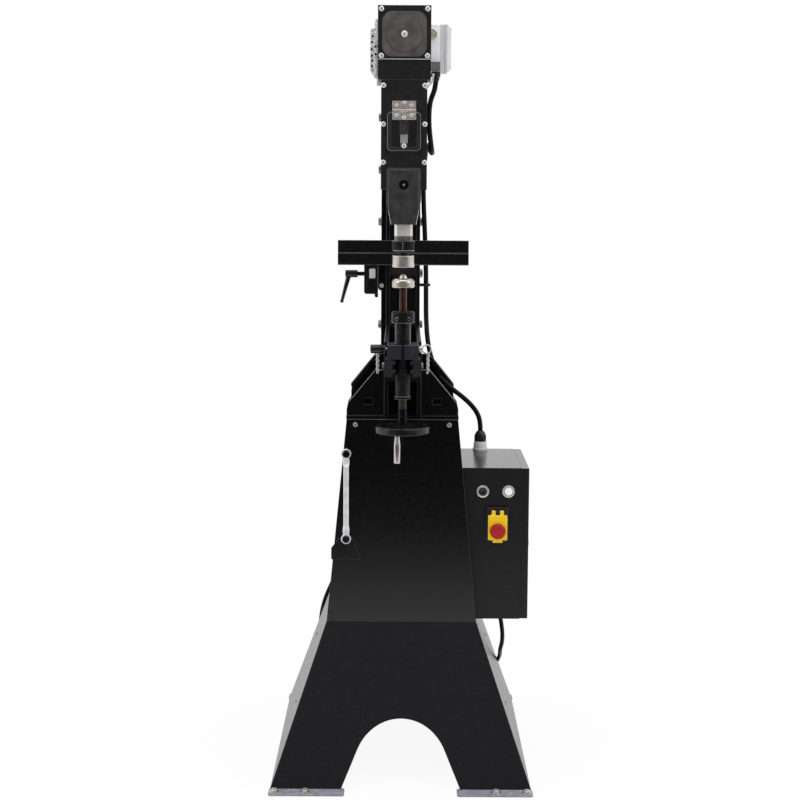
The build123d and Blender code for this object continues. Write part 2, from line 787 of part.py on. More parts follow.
# Ram: chamfered bar with a turned neck and a flat tongue for the wrist pin
tongue = 8.0
tongue_width = 16.0
tongue_rise = 12.0
fork_drop = 11.0
tongue_top = wrist_z + tongue_rise
fork_bottom = wrist_z - fork_drop
with BuildPart() as ram:
    with BuildSketch(Plane.XY.offset(ram_bottom)) as ram_section:
        with Locations((0, die_y)):
            Rectangle(ram_width, ram_width)
        chamfer(ram_section.vertices(), ram_chamfer)
    extrude(amount=ram_shoulder - ram_bottom)
    with BuildSketch(Plane.XY.offset(ram_shoulder)):
        with Locations((0, die_y)):
            Circle(neck_radius)
    extrude(amount=fork_bottom - 1 - ram_shoulder)
    with BuildSketch(Plane.XY.offset(fork_bottom - 1)):
        with Locations((0, die_y)):
            Rectangle(tongue_width, tongue)
    extrude(amount=tongue_top - fork_bottom + 1)
    with BuildSketch(Plane.XZ.offset(-die_y)):
        with Locations((0, wrist_z)):
            Circle(wrist_pin_radius + running_clearance)
    extrude(amount=tongue, both=True, mode=Mode.SUBTRACT)
ram.part.label = "ram"
export_step(ram.part, "parts/ram.step")

# Connecting rod: forked bar at the wrist, round eye at the crank
rod_depth = 24.0
fork_rise = 40.0
fork_top = wrist_z + fork_rise
eye_z = crank_z + crank_throw
eye_radius = 24.0
eye_bore = 14.0
with BuildPart() as connecting_rod:
    with BuildSketch(Plane.XZ.offset(-die_y - rod_depth / 2)):
        with Locations((0, (fork_bottom + fork_top) / 2)):
            Rectangle(rod_width, fork_top - fork_bottom)
    extrude(amount=rod_depth)
    with BuildSketch(Plane.XZ.offset(-die_y - rod_thickness / 2)):
        with Locations((0, (fork_top + eye_z) / 2)):
            Rectangle(rod_width, eye_z - fork_top)
        with Locations((0, eye_z)):
            Circle(eye_radius)
            Circle(eye_bore, mode=Mode.SUBTRACT)
    extrude(amount=rod_thickness)
    with BuildSketch(Plane.XZ.offset(-die_y - tongue / 2 - slide_clearance)):
        with Locations((0, fork_bottom + (tongue_top + 2 - fork_bottom) / 2)):
            Rectangle(rod_width, tongue_top + 2 - fork_bottom)
    extrude(amount=tongue + 2 * slide_clearance, mode=Mode.SUBTRACT)
    with BuildSketch(Plane.XZ.offset(-die_y)):
        with Locations((0, wrist_z)):
            Circle(wrist_pin_radius + running_clearance)
    extrude(amount=rod_depth, both=True, mode=Mode.SUBTRACT)
connecting_rod.part.label = "connecting_rod"
export_step(connecting_rod.part, "parts/connecting_rod.step")

# Wrist pin through the rod's fork and the ram's tongue
with BuildPart() as wrist_pin:
    with BuildSketch(Plane.XZ.offset(-die_y - rod_depth / 2)):
        with Locations((0, wrist_z)):
            Circle(wrist_pin_radius)
    extrude(amount=rod_depth)
wrist_pin.part.label = "wrist_pin"
export_step(wrist_pin.part, "parts/wrist_pin.step")

# Upper die holder: chamfered socket under the ram, with a pinch slot at the front
die_height = 27.5
upper_die_top = upper_die_bottom + die_height
shank_radius = 13.0
upper_holder_bottom = ram_bottom - holder_height
shank_in_holder = 18.0
holder_lip = 0.5
holder_radius = die_radius + holder_lip
holder_chamfer = 4.0
pinch_slot = 3.0
pinch_depth = 12.0
pinch_margin = 5.0
die_round = 2.0
with BuildPart() as upper_die_holder:
    with BuildSketch(Plane.XY.offset(upper_holder_bottom)):
        with Locations((0, die_y)):
            Circle(holder_radius)
    extrude(amount=holder_height)
    chamfer(upper_die_holder.edges().sort_by(Axis.Z)[0], holder_chamfer)
    with BuildSketch(Plane.XY.offset(upper_holder_bottom)):
        with Locations((0, die_y)):
            Circle(shank_radius + running_clearance)
    extrude(amount=shank_in_holder, mode=Mode.SUBTRACT)
    with Locations((0, die_y - die_radius, upper_holder_bottom + holder_height / 2)):
        Box(pinch_slot, pinch_depth, holder_height - 2 * pinch_margin, mode=Mode.SUBTRACT)
upper_die_holder.part.label = "upper_die_holder"
export_step(upper_die_holder.part, "parts/upper_die_holder.step")

# Upper die: flat-faced steel disc on a shank
with BuildPart() as upper_die:
    with BuildSketch(Plane.XY.offset(upper_die_bottom)):
        with Locations((0, die_y)):
            Circle(die_radius)
    extrude(amount=die_height)
    fillet(upper_die.edges().filter_by(GeomType.CIRCLE), die_round)
    with BuildSketch(Plane.XY.offset(upper_die_top)):
        with Locations((0, die_y)):
            Circle(shank_radius)
    extrude(amount=upper_holder_bottom + shank_in_holder - seat - upper_die_top)
upper_die.part.label = "upper_die"
export_step(upper_die.part, "parts/upper_die.step")

# Lower die: shouldered disc with a crowned button, on a long shank
lower_die_top = upper_die_bottom - die_gap
crown_radius = 9.0
crown_stem = 0.7
crown_height = crown_radius + crown_stem
shoulder_drop = 9.0
shoulder_reach = 10.0
shoulder_middle = (3.2, 2.4)
lower_body_height = 21.5
lower_shank_radius = 8.5
lower_holder_top = 1125.5
lower_body_top = lower_die_top - crown_height
lower_body_bottom = lower_body_top - lower_body_height
shank_in_lower = 20.0
with BuildPart() as lower_die:
    with BuildSketch(Plane.XZ.offset(-die_y)):
        with BuildLine():
            Polyline(
                (0, lower_body_bottom),
                (die_radius - die_round, lower_body_bottom),
                (die_radius, lower_body_bottom + die_round),
                (die_radius, lower_body_top - shoulder_drop),
            )
            ThreePointArc(
                (die_radius, lower_body_top - shoulder_drop),
                (die_radius - shoulder_middle[0], lower_body_top - shoulder_middle[1]),
                (die_radius - shoulder_reach, lower_body_top),
            )
            Line(
                (die_radius - shoulder_reach, lower_body_top),
                (crown_radius, lower_die_top - crown_radius),
            )
            ThreePointArc(
                (crown_radius, lower_die_top - crown_radius),
                (crown_radius * cos(pi / 4), lower_die_top - crown_radius * (1 - sin(pi / 4))),
                (0, lower_die_top),
            )
            Line((0, lower_die_top), (0, lower_body_bottom))
        make_face()
    revolve(axis=Axis((0, die_y, 0), (0, 0, 1)))
    with BuildSketch(Plane.XY.offset(lower_holder_top - shank_in_lower)):
        with Locations((0, die_y)):
            Circle(lower_shank_radius)
    extrude(amount=lower_body_bottom - lower_holder_top + shank_in_lower)
lower_die.part.label = "lower_die"
export_step(lower_die.part, "parts/lower_die.step")

# Lower die holder: socket swivelling on the lift spindle, with two set screws at the front
lower_holder_bottom = lower_holder_top - holder_height
pivot_radius = 11.0
pivot_depth = 5.0
set_screw_radius = 3.0
set_screw_x = 14.0
set_screw_z = lower_holder_bottom + 10.0
set_screw_out = 1.5
holder_round = 5.0
with BuildPart() as lower_die_holder:
    with BuildSketch(Plane.XY.offset(lower_holder_bottom)):
        with Locations((0, die_y)):
            Circle(holder_radius)
    extrude(amount=holder_height)
    fillet(lower_die_holder.edges().sort_by(Axis.Z)[-1], holder_round)
    with BuildSketch(Plane.XY.offset(lower_holder_top)):
        with Locations((0, die_y)):
            Circle(lower_shank_radius + running_clearance)
    extrude(amount=-(shank_in_lower + seat), mode=Mode.SUBTRACT)
    with BuildSketch(Plane.XY.offset(lower_holder_bottom)):
        with Locations((0, die_y)):
            Circle(pivot_radius + running_clearance)
    extrude(amount=pivot_depth, mode=Mode.SUBTRACT)
    with BuildSketch(Plane.XZ.offset(-die_y)):
        with Locations((-set_screw_x, set_screw_z), (set_screw_x, set_screw_z)):
            Circle(set_screw_radius)
    extrude(amount=die_radius + set_screw_out)
lower_die_holder.part.label = "lower_die_holder"
export_step(lower_die_holder.part, "parts/lower_die_holder.step")

# Lift spindle: threaded barrel with a pivot on top
groove = 1.2
groove_start = 0.6
groove_share = 0.4
swivel_gap = 0.3
barrel_top = lower_holder_bottom - swivel_gap
collar_top = 927.0
barrel_turns = int((barrel_top - clamp_top) / thread_pitch)
screw_turns = int((cheek_bottom - collar_top) / thread_pitch)
with BuildPart() as lift_spindle:
    with BuildSketch(Plane.XY.offset(collar_top)):
        with Locations((0, die_y)):
            Circle(spindle_radius)
    extrude(amount=barrel_top - collar_top)
    with BuildSketch(Plane.XY.offset(barrel_top)):
        with Locations((0, die_y)):
            Circle(pivot_radius)
    extrude(amount=pivot_depth)
    for turn in range(barrel_turns):
        with BuildSketch(Plane.XY.offset(clamp_top + (turn + groove_start) * thread_pitch)):
            with Locations((0, die_y)):
                Circle(spindle_radius + 1)
                Circle(spindle_radius - groove, mode=Mode.SUBTRACT)
        extrude(amount=thread_pitch * groove_share, mode=Mode.SUBTRACT)
    for turn in range(screw_turns):
        with BuildSketch(Plane.XY.offset(collar_top + (turn + groove_start) * thread_pitch)):
            with Locations((0, die_y)):
                Circle(spindle_radius + 1)
                Circle(spindle_radius - groove, mode=Mode.SUBTRACT)
        extrude(amount=thread_pitch * groove_share, mode=Mode.SUBTRACT)
lift_spindle.part.label = "lift_spindle"
export_step(lift_spindle.part, "parts/lift_spindle.step")

# Drive coupling: collar, short shaft and pinned sleeve between the spindle and the handwheel
collar_radius = 19.5
collar_height = 7.0
sleeve_radius = 10.5
sleeve_top = 896.0
joint_shaft_radius = 10.0
cross_pin_radius = 3.0
cross_pin_out = 1.5
with BuildPart() as drive_coupling:
    with BuildSketch(Plane.XY.offset(collar_top - collar_height)):
        with Locations((0, die_y)):
            Circle(collar_radius)
    extrude(amount=collar_height)
    with BuildSketch(Plane.XY.offset(sleeve_top)):
        with Locations((0, die_y)):
            Circle(joint_shaft_radius)
    extrude(amount=collar_top - collar_height - sleeve_top)
    with BuildSketch(Plane.XY.offset(wheel_top)):
        with Locations((0, die_y)):
            Circle(sleeve_radius)
    extrude(amount=sleeve_top - wheel_top)
    with BuildSketch(Plane.XZ.offset(-die_y)):
        with Locations((0, (sleeve_top + wheel_top) / 2)):
            Circle(cross_pin_radius)
    extrude(amount=sleeve_radius + cross_pin_out, both=True)
drive_coupling.part.label = "drive_coupling"
export_step(drive_coupling.part, "parts/drive_coupling.step")

# Handwheel: turned rim, thin web and hub
rim_width = 15.0
web_thickness = 7.0
hub_radius = 17.0
handle_x = -12.0
handle_reach = wheel_radius - rim_width / 2
handle_y = die_y - (handle_reach**2 - handle_x**2) ** 0.5
wheel_bottom = wheel_top - wheel_rim
stud_radius = 4.0
stud_short = 8.0
stud_root = 5.0
stud_length = handle_length - stud_short
web_holes = 3
web_hole_radius = 11.0
rim_round = 3.0
with BuildPart() as handwheel:
    with BuildSketch(Plane.XY.offset(wheel_bottom)):
        with Locations((0, die_y)):
            Circle(wheel_radius)
            Circle(wheel_radius - rim_width, mode=Mode.SUBTRACT)
            Circle(hub_radius)
    extrude(amount=wheel_rim)
    with BuildSketch(Plane.XY.offset(wheel_bottom + (wheel_rim - web_thickness) / 2)):
        with Locations((0, die_y)):
            Circle(wheel_radius - rim_width / 2)
            with PolarLocations((hub_radius + wheel_radius - rim_width) / 2, web_holes, start_angle=90):
                Circle(web_hole_radius, mode=Mode.SUBTRACT)
    extrude(amount=web_thickness)
    rim_edges = handwheel.edges().filter_by(GeomType.CIRCLE)
    outer_edges = rim_edges.filter_by(lambda edge: abs(edge.radius - wheel_radius) < 0.01)
    fillet(outer_edges, rim_round)
    with BuildSketch(Plane.XY.offset(wheel_bottom - stud_length)):
        with Locations((handle_x, handle_y)):
            Circle(stud_radius)
    extrude(amount=stud_length + stud_root)
handwheel.part.label = "handwheel"
export_step(handwheel.part, "parts/handwheel.step")

# Handle turning freely on the handwheel's stud
handle_gap = 0.4
handle_round = 2.5
handle_neck = 2.0
handle_neck_length = 16.0
handle_top = wheel_bottom - handle_gap
handle_bottom = handle_top - handle_length
handle_plane = Plane(origin=(handle_x, handle_y, 0), x_dir=(1, 0, 0), z_dir=(0, -1, 0))
with BuildPart() as wheel_handle:
    with BuildSketch(handle_plane):
        with BuildLine():
            Polyline(
                (0, handle_bottom),
                (handle_radius - handle_round, handle_bottom),
                (handle_radius, handle_bottom + handle_round),
                (handle_radius, handle_top - handle_neck_length),
                (handle_radius - handle_neck, handle_top),
                (0, handle_top),
                close=True,
            )
        make_face()
    revolve(axis=Axis((handle_x, handle_y, 0), (0, 0, 1)))
    with BuildSketch(Plane.XY.offset(handle_top)):
        with Locations((handle_x, handle_y)):
            Circle(stud_radius + running_clearance)
    extrude(amount=-(stud_length + 1), mode=Mode.SUBTRACT)
wheel_handle.part.label = "wheel_handle"
export_step(wheel_handle.part, "parts/wheel_handle.step")

# Split clamp block on the lower arm's front, with guide cheeks below and two cross bores for the pins
clamp_reach = 38.0
clamp_bottom = clamp_top - clamp_height
clamp_slot = 6.0
cheek_width = 16.0
cheek_gap = 48.0
pin_back = 31.0
pin_drop = 15.0
pin_y = die_y + pin_back
pin_z = clamp_top - pin_drop
lock_pin_radius = 5.0
pin_depth = 18.0
cheek_setback = 3.0
cheek_depth = arm_front - die_y + clamp_reach - cheek_setback
with BuildPart() as clamp_block:
    with BuildSketch(Plane.XY.offset(clamp_bottom)):
        with Locations((0, (die_y - clamp_reach + arm_front) / 2)):
            Rectangle(clamp_width, arm_front - die_y + clamp_reach)
        with Locations((0, die_y)):
            Circle(spindle_radius + running_clearance, mode=Mode.SUBTRACT)
        with Locations((0, die_y - clamp_reach / 2)):
            Rectangle(clamp_slot, clamp_reach, mode=Mode.SUBTRACT)
    extrude(amount=clamp_height)
    with BuildSketch(Plane.XY.offset(cheek_bottom)):
        for side_x in (-1, 1):
            with Locations((side_x * (cheek_gap + cheek_width) / 2, arm_front - cheek_depth / 2)):
                Rectangle(cheek_width, cheek_depth)
    extrude(amount=clamp_bottom - cheek_bottom)
    for side_x in (-1, 1):
        with BuildSketch(Plane.YZ.offset(side_x * clamp_width / 2)):
            with Locations((pin_y, pin_z)):
                Circle(lock_pin_radius + running_clearance)
        extrude(amount=-side_x * (pin_depth + 1), mode=Mode.SUBTRACT)
clamp_block.part.label = "clamp_block"
export_step(clamp_block.part, "parts/clamp_block.step")

# Left lock pin with a round black knob
knob_radius = 9.0
knob_length = 38.0
knob_gap = 2.0
knob_round = 2.5
with BuildPart() as lock_pin_left:
    with BuildSketch(Plane.YZ.offset(-(clamp_width / 2 - pin_depth))):
        with Locations((pin_y, pin_z)):
            Circle(lock_pin_radius)
    extrude(amount=-(pin_depth + knob_gap))
    with BuildSketch(Plane.YZ.offset(-(clamp_width / 2 + knob_gap))):
        with Locations((pin_y, pin_z)):
            Circle(knob_radius)
    extrude(amount=-knob_length)
    fillet(lock_pin_left.edges().sort_by(Axis.X)[0], knob_round)
lock_pin_left.part.label = "lock_pin_left"
export_step(lock_pin_left.part, "parts/lock_pin_left.step")

# Right lock pin with a pull ring through its head
head_length = 9.0
ring_radius = 10.0
ring_wire = 1.6
ring_x = clamp_width / 2 + knob_gap + head_length + ring_radius - 1
with BuildPart() as lock_pin_right:
    with BuildSketch(Plane.YZ.offset(clamp_width / 2 - pin_depth)):
        with Locations((pin_y, pin_z)):
            Circle(lock_pin_radius)
    extrude(amount=pin_depth + knob_gap)
    with BuildSketch(Plane.YZ.offset(clamp_width / 2 + knob_gap)):
        with Locations((pin_y, pin_z)):
            Circle(knob_radius - 1)
    extrude(amount=head_length)
    with Locations(Plane(origin=(ring_x, pin_y, pin_z), x_dir=(1, 0, 0), z_dir=(0, -1, 0))):
        Torus(ring_radius, ring_wire)
lock_pin_right.part.label = "lock_pin_right"
export_step(lock_pin_right.part, "parts/lock_pin_right.step")

# Link chains from screw eyes on the front gussets up to the lock pins
link_radius = 4.2
link_wire = 1.1
link_pitch = 5.9
link_count = 10
chain_offset = 22.5
chain_x = clamp_width / 2 + chain_offset
chain_rise = Vector(0, -0.6, 0.8)
eye_stem = 3.0
eye_stem_radius = 2.2
chain_drop = 58.0
hook_y = -body_depth / 2 - eye_stem - link_radius
hook_z = pin_z - chain_drop
with BuildPart() as link_chains:
    for side_x in (-1, 1):
        with BuildSketch(Plane.XZ.offset(body_depth / 2)):
            with Locations((side_x * chain_x, hook_z)):
                Circle(eye_stem_radius)
        extrude(amount=eye_stem)
        for link in range(link_count):
            spot = Vector(side_x * chain_x, hook_y, hook_z) + chain_rise * (link * link_pitch)
            normal = (0, chain_rise.Z, -chain_rise.Y) if link % 2 else (1, 0, 0)
            with Locations(Plane(origin=spot, x_dir=chain_rise, z_dir=normal)):
                Torus(link_radius, link_wire)
link_chains.part.label = "link_chains"
export_step(link_chains.part, "parts/link_chains.step")

# Window hinge, fixed half: upper leaf, two outer knuckles and the hinge pin
hinge_width = 54.0
leaf_height = 21.0
leaf_thickness = 2.0
knuckle_radius = 3.5
knuckle_split = 10.0
hinge_pin_radius = 1.6
knuckle_gap = 0.5
knuckle_stand = 2.5
knuckle_strip = 4.0
leaf_clear = 0.7
hinge_screw_radius = 3.0
hinge_screw_head = 1.2
hinge_screw_low = 11.0
hinge_screw_high = 17.0
hinge_z = window_bottom + window_height + knuckle_radius + knuckle_gap
hinge_y = cover_front - leaf_thickness - knuckle_stand
leaf_inner = knuckle_radius + leaf_clear
leaf_middle = leaf_inner + (leaf_height - knuckle_strip) / 2
hinge_screw_x = 17.0
outer_length = hinge_width / 2 - knuckle_split
hinge_screws = ((-hinge_screw_x, hinge_screw_low), (0, hinge_screw_high), (hinge_screw_x, hinge_screw_low))
with BuildPart() as hinge_leaf:
    with BuildSketch(Plane.XZ.offset(-cover_front)):
        with Locations((0, hinge_z + leaf_middle)):
            Rectangle(hinge_width, leaf_height - knuckle_strip)
        for side_x in (-1, 1):
            with Locations((side_x * (knuckle_split + outer_length / 2), hinge_z + knuckle_strip)):
                Rectangle(outer_length, 2 * knuckle_strip)
    extrude(amount=leaf_thickness)
    for side_x in (-1, 1):
        with BuildSketch(Plane.YZ.offset(side_x * knuckle_split)):
            with Locations((hinge_y, hinge_z)):
                Circle(knuckle_radius)
        extrude(amount=side_x * outer_length)
    with BuildSketch(Plane.YZ.offset(-knuckle_split)):
        with Locations((hinge_y, hinge_z)):
            Circle(hinge_pin_radius)
    extrude(amount=2 * knuckle_split)
    with BuildSketch(Plane.XZ.offset(-cover_front + leaf_thickness)):
        for screw_x, rise in hinge_screws:
            with Locations((screw_x, hinge_z + rise)):
                Circle(hinge_screw_radius)
    extrude(amount=hinge_screw_head)
hinge_leaf.part.label = "hinge_leaf"
export_step(hinge_leaf.part, "parts/hinge_leaf.step")

# Clear window door
door_clear = 0.6
window_thickness = 4.0
window_back = cover_front - door_clear
window_bolt_radius = 3.0
window_bolt_rise = 11.0
window_corner = 9.0
window_bolt_z = window_bottom + window_bolt_rise
with BuildPart() as window_door:
    with BuildSketch(Plane.XZ.offset(-window_back)):
        with Locations((0, window_z)):
            RectangleRounded(window_width, window_height, window_corner)
        with Locations((0, window_bolt_z)):
            Circle(window_bolt_radius + running_clearance, mode=Mode.SUBTRACT)
    extrude(amount=window_thickness)
window_door.part.label = "window_door"
export_step(window_door.part, "parts/window_door.step")

# Window hinge, moving half: lower leaf with the middle knuckle, and the pull bolt of the door
window_face = window_back - window_thickness
knuckle_play = 0.3
middle_half = knuckle_split - knuckle_play
bolt_head_radius = 5.5
bolt_head_out = 5.0
with BuildPart() as window_hinge_leaf:
    with BuildSketch(Plane.XZ.offset(-window_face)):
        with Locations((0, hinge_z - leaf_middle)):
            Rectangle(hinge_width, leaf_height - knuckle_strip)
        with Locations((0, hinge_z - knuckle_strip)):
            Rectangle(2 * middle_half, 2 * knuckle_strip)
    extrude(amount=leaf_thickness)
    with BuildSketch(Plane.YZ.offset(-middle_half)):
        with Locations((hinge_y, hinge_z)):
            Circle(knuckle_radius)
    extrude(amount=2 * middle_half)
    with BuildSketch(Plane.YZ.offset(-middle_half)):
        with Locations((hinge_y, hinge_z)):
            Circle(hinge_pin_radius + running_clearance)
    extrude(amount=2 * middle_half, mode=Mode.SUBTRACT)
    with BuildSketch(Plane.XZ.offset(-window_face + leaf_thickness)):
        for screw_x, rise in hinge_screws:
            with Locations((screw_x, hinge_z - rise)):
                Circle(hinge_screw_radius)
    extrude(amount=hinge_screw_head)
    with BuildSketch(Plane.XZ.offset(-window_back)):
        with Locations((0, window_bolt_z)):
            Circle(window_bolt_radius)
    extrude(amount=window_thickness)
    with BuildSketch(Plane.XZ.offset(-window_face)):
        with Locations((0, window_bolt_z)):
            Circle(bolt_head_radius)
    extrude(amount=bolt_head_out)
window_hinge_leaf.part.label = "window_hinge_leaf"
export_step(window_hinge_leaf.part, "parts/window_hinge_leaf.step")

# Stop rail: bright bar on the mast's seat, reaching into the throat
stop_setback = 125.0
rail_proud = 25.0
bar_chamfer = 1.5
stop_front = die_y + stop_setback
rail_front = stop_front - rail_proud
rail_back = column_bolt_y + rail_seat_length / 2
with BuildPart() as stop_rail:
    with Locations((rail_x, (rail_front + rail_back) / 2, rail_z)):
        Box(rail_width, rail_back - rail_front, rail_height)
    chamfer(stop_rail.edges().filter_by(Axis.Y), bar_chamfer)
stop_rail.part.label = "stop_rail"
export_step(stop_rail.part, "parts/stop_rail.step")

# Stop carriage: block round the rail, with the stud of the clamp lever
carriage_play = 0.4
carriage_left = 12.5
carriage_right = 6.0
carriage_over = 8.0
carriage_under = 39.0
carriage_chamfer = 4.0
carriage_proud = 2.0
carriage_top = rail_bottom + rail_height + carriage_over
carriage_bottom = rail_bottom - carriage_under
carriage_low_x = rail_x - rail_width / 2 - carriage_play - carriage_left
carriage_high_x = rail_x + rail_width / 2 + carriage_play + carriage_right
carriage_y = stop_front - carriage_proud + carriage_length / 2
lever_stud_radius = 5.0
lever_hub_gap = 16.0
lever_hub_length = 30.0
lever_hub_radius = 9.0
lever_stud_short = 10.0
lever_drop = 3.0
stud_reach = lever_hub_gap + lever_hub_length - lever_stud_short
lever_z = rail_z - lever_drop
with BuildPart() as stop_carriage:
    with BuildSketch(Plane.XZ.offset(-carriage_y)):
        with Locations(((carriage_low_x + carriage_high_x) / 2, (carriage_bottom + carriage_top) / 2)):
            Rectangle(carriage_high_x - carriage_low_x, carriage_top - carriage_bottom)
        with Locations((rail_x, rail_z)):
            Rectangle(rail_width + 2 * carriage_play, rail_height + 2 * carriage_play, mode=Mode.SUBTRACT)
    extrude(amount=carriage_length / 2, both=True)
    chamfer(stop_carriage.edges().filter_by(Axis.Y).sort_by(Axis.Z)[:2], carriage_chamfer)
    with BuildSketch(Plane.YZ.offset(carriage_low_x)):
        with Locations((carriage_y, lever_z)):
            Circle(lever_stud_radius)
    extrude(amount=-stud_reach)
stop_carriage.part.label = "stop_carriage"
export_step(stop_carriage.part, "parts/stop_carriage.step")

# Stop bar: stepped crossbar on the carriage
stop_step = stop_height / 2
stop_thick = 18.0
stop_thin = 12.0
with BuildPart() as stop_bar:
    with BuildSketch(Plane.YZ.offset(-stop_length / 2)):
        with BuildLine():
            Polyline(
                (stop_front, carriage_top),
                (stop_front + stop_thick, carriage_top),
                (stop_front + stop_thick, carriage_top + stop_height),
                (stop_front + stop_thick - stop_thin, carriage_top + stop_height),
                (stop_front + stop_thick - stop_thin, carriage_top + stop_step),
                (stop_front, carriage_top + stop_step),
                close=True,
            )
        make_face()
    extrude(amount=stop_length)
    chamfer(stop_bar.edges().filter_by(Axis.X).sort_by(Axis.Y)[:2], bar_chamfer)
stop_bar.part.label = "stop_bar"
export_step(stop_bar.part, "parts/stop_bar.step")

# Clamp lever: hub on the carriage's stud with a tapered hanging arm
lever_out = carriage_low_x - lever_hub_gap - lever_hub_length
lever_stud_end = 1.0
lever_lean = 17.0
lever_length = 64.0
lever_root_radius = 6.0
lever_tip_radius = 3.6
lever_end_radius = 4.4
lever_hub_chamfer = 2.0
lever_root_x = lever_out + lever_hub_radius
lever_root_z = lever_z - 2
arm_root = Vector(lever_root_x, carriage_y, lever_root_z)
arm_end = Vector(lever_root_x - lever_lean, carriage_y, lever_root_z - lever_length)
arm_line = arm_end - arm_root
with BuildPart() as stop_lever:
    with BuildSketch(Plane.YZ.offset(lever_out)):
        with Locations((carriage_y, lever_z)):
            Circle(lever_hub_radius)
    extrude(amount=lever_hub_length)
    chamfer(stop_lever.edges().sort_by(Axis.X)[0], lever_hub_chamfer)
    with BuildSketch(Plane(origin=arm_root, x_dir=(0, 1, 0), z_dir=arm_line)):
        Circle(lever_root_radius)
    with BuildSketch(Plane(origin=arm_end, x_dir=(0, 1, 0), z_dir=arm_line)):
        Circle(lever_tip_radius)
    loft()
    with Locations(arm_end):
        Sphere(lever_end_radius)
    with BuildSketch(Plane.YZ.offset(lever_out + lever_hub_length)):
        with Locations((carriage_y, lever_z)):
            Circle(lever_stud_radius + running_clearance)
    extrude(amount=-(stud_reach - lever_hub_gap + lever_stud_end), mode=Mode.SUBTRACT)
stop_lever.part.label = "stop_lever"
export_step(stop_lever.part, "parts/stop_lever.step")

# Control box: folded case on the stand's right side, open towards its door
box_back = box_front + box_depth
button_x = 195.0
lamp_x = 257.0
button_drop = 57.0
button_z = box_top - button_drop
button_radius = 10.0
button_play = 0.3
hinge_barrel = 4.0
door_hinge_x = box_right + door_gap / 2
door_hinge_stand = 5.0
door_hinge_y = box_back + door_hinge_stand
door_pin_radius = 1.6
door_hinge_low = 75.0
door_hinge_high = 90.0
door_hinge_zs = (box_bottom + door_hinge_low, box_top - door_hinge_high)
box_strap_length = 12.0
box_strap = 4.0
box_strap_x = door_hinge_x - 8.0
half_barrel = 20.0


def box_outline(inset):
    """The case's outline in the XZ plane, its inner edge along the stand's sloping side."""
    high = box_top - inset
    low = box_bottom + inset
    return [
        (body_half(high) + seam + inset, high),
        (box_right, high),
        (box_right, low),
        (body_half(low) + seam + inset, low),
    ]


with BuildPart() as control_box:
    with BuildSketch(Plane.XZ.offset(-box_front)):
        with BuildLine():
            Polyline(*box_outline(0), close=True)
        make_face()
    extrude(amount=-box_depth)
    with BuildSketch(Plane.XZ.offset(-box_front - box_wall)):
        with BuildLine():
            Polyline(*box_outline(box_wall), close=True)
        make_face()
    extrude(amount=-(box_depth - 2 * box_wall), mode=Mode.SUBTRACT)
    with BuildSketch(Plane.XZ.offset(-box_front)):
        with Locations((button_x, button_z)):
            Circle(button_radius + button_play)
    extrude(amount=-box_wall, mode=Mode.SUBTRACT)
    for barrel_z in door_hinge_zs:
        with BuildSketch(Plane.XY.offset(barrel_z)):
            with Locations((door_hinge_x, door_hinge_y)):
                Circle(hinge_barrel)
            with Locations((box_strap_x, box_back + box_strap / 2)):
                Rectangle(box_strap_length, box_strap)
        extrude(amount=half_barrel)
        with BuildSketch(Plane.XY.offset(barrel_z)):
            with Locations((door_hinge_x, door_hinge_y)):
                Circle(door_pin_radius)
        extrude(amount=2 * half_barrel)
control_box.part.label = "control_box"
export_step(control_box.part, "parts/control_box.step")

# Control-box door: a shallow tray with two hinge knuckles on its rear edge
door_left = box_right + door_gap
door_right = door_left + door_thickness - door_gap
door_sheet = 2.0
door_edge = 1.0
door_chamfer = 1.2
door_strap_length = 9.0
door_strap = 5.0
door_strap_x = door_hinge_x + 5.5
latch_inset = 25.0
latch_radius = 11.0
latch_out = 1.5
door_low = box_bottom + door_edge
door_high = box_top - door_edge
with BuildPart() as control_door:
    with BuildSketch(Plane.YZ.offset(door_left)):
        with Locations(((box_front + box_back) / 2, (door_low + door_high) / 2)):
            Rectangle(box_depth - 2 * door_edge, door_high - door_low)
    extrude(amount=door_right - door_left)
    chamfer(control_door.faces().sort_by(Axis.X)[-1].edges(), door_chamfer)
    with BuildSketch(Plane.YZ.offset(door_left)):
        with Locations(((box_front + box_back) / 2, (door_low + door_high) / 2)):
            Rectangle(box_depth - 2 * door_edge - 2 * door_sheet, door_high - door_low - 2 * door_sheet)
    extrude(amount=door_right - door_left - door_sheet, mode=Mode.SUBTRACT)
    for barrel_z in door_hinge_zs:
        with BuildSketch(Plane.XY.offset(barrel_z + half_barrel + seam)):
            with Locations((door_hinge_x, door_hinge_y)):
                Circle(hinge_barrel)
            with Locations((door_strap_x, box_back + door_strap / 2 - door_edge)):
                Rectangle(door_strap_length, door_strap)
        extrude(amount=half_barrel - seam)
        with BuildSketch(Plane.XY.offset(barrel_z + half_barrel)):
            with Locations((door_hinge_x, door_hinge_y)):
                Circle(door_pin_radius + running_clearance)
        extrude(amount=half_barrel, mode=Mode.SUBTRACT)
    with BuildSketch(Plane.YZ.offset(door_right)):
        with Locations((box_front + latch_inset, (door_low + door_high) / 2)):
            Circle(latch_radius)
    extrude(amount=latch_out)
control_door.part.label = "control_door"
export_step(control_door.part, "parts/control_door.step")

# Start button sliding in the case's front wall
button_travel = 4.0
button_inside = 8.0
button_proud = 5.0
button_round = 1.5
with BuildPart() as start_button:
    with BuildSketch(Plane.XZ.offset(-box_front - box_wall - button_inside)):
        with Locations((button_x, button_z)):
            Circle(button_radius)
    extrude(amount=box_wall + button_inside + button_travel + button_proud)
    fillet(start_button.edges().sort_by(Axis.Y)[0], button_round)
start_button.part.label = "start_button"
export_step(start_button.part, "parts/start_button.step")

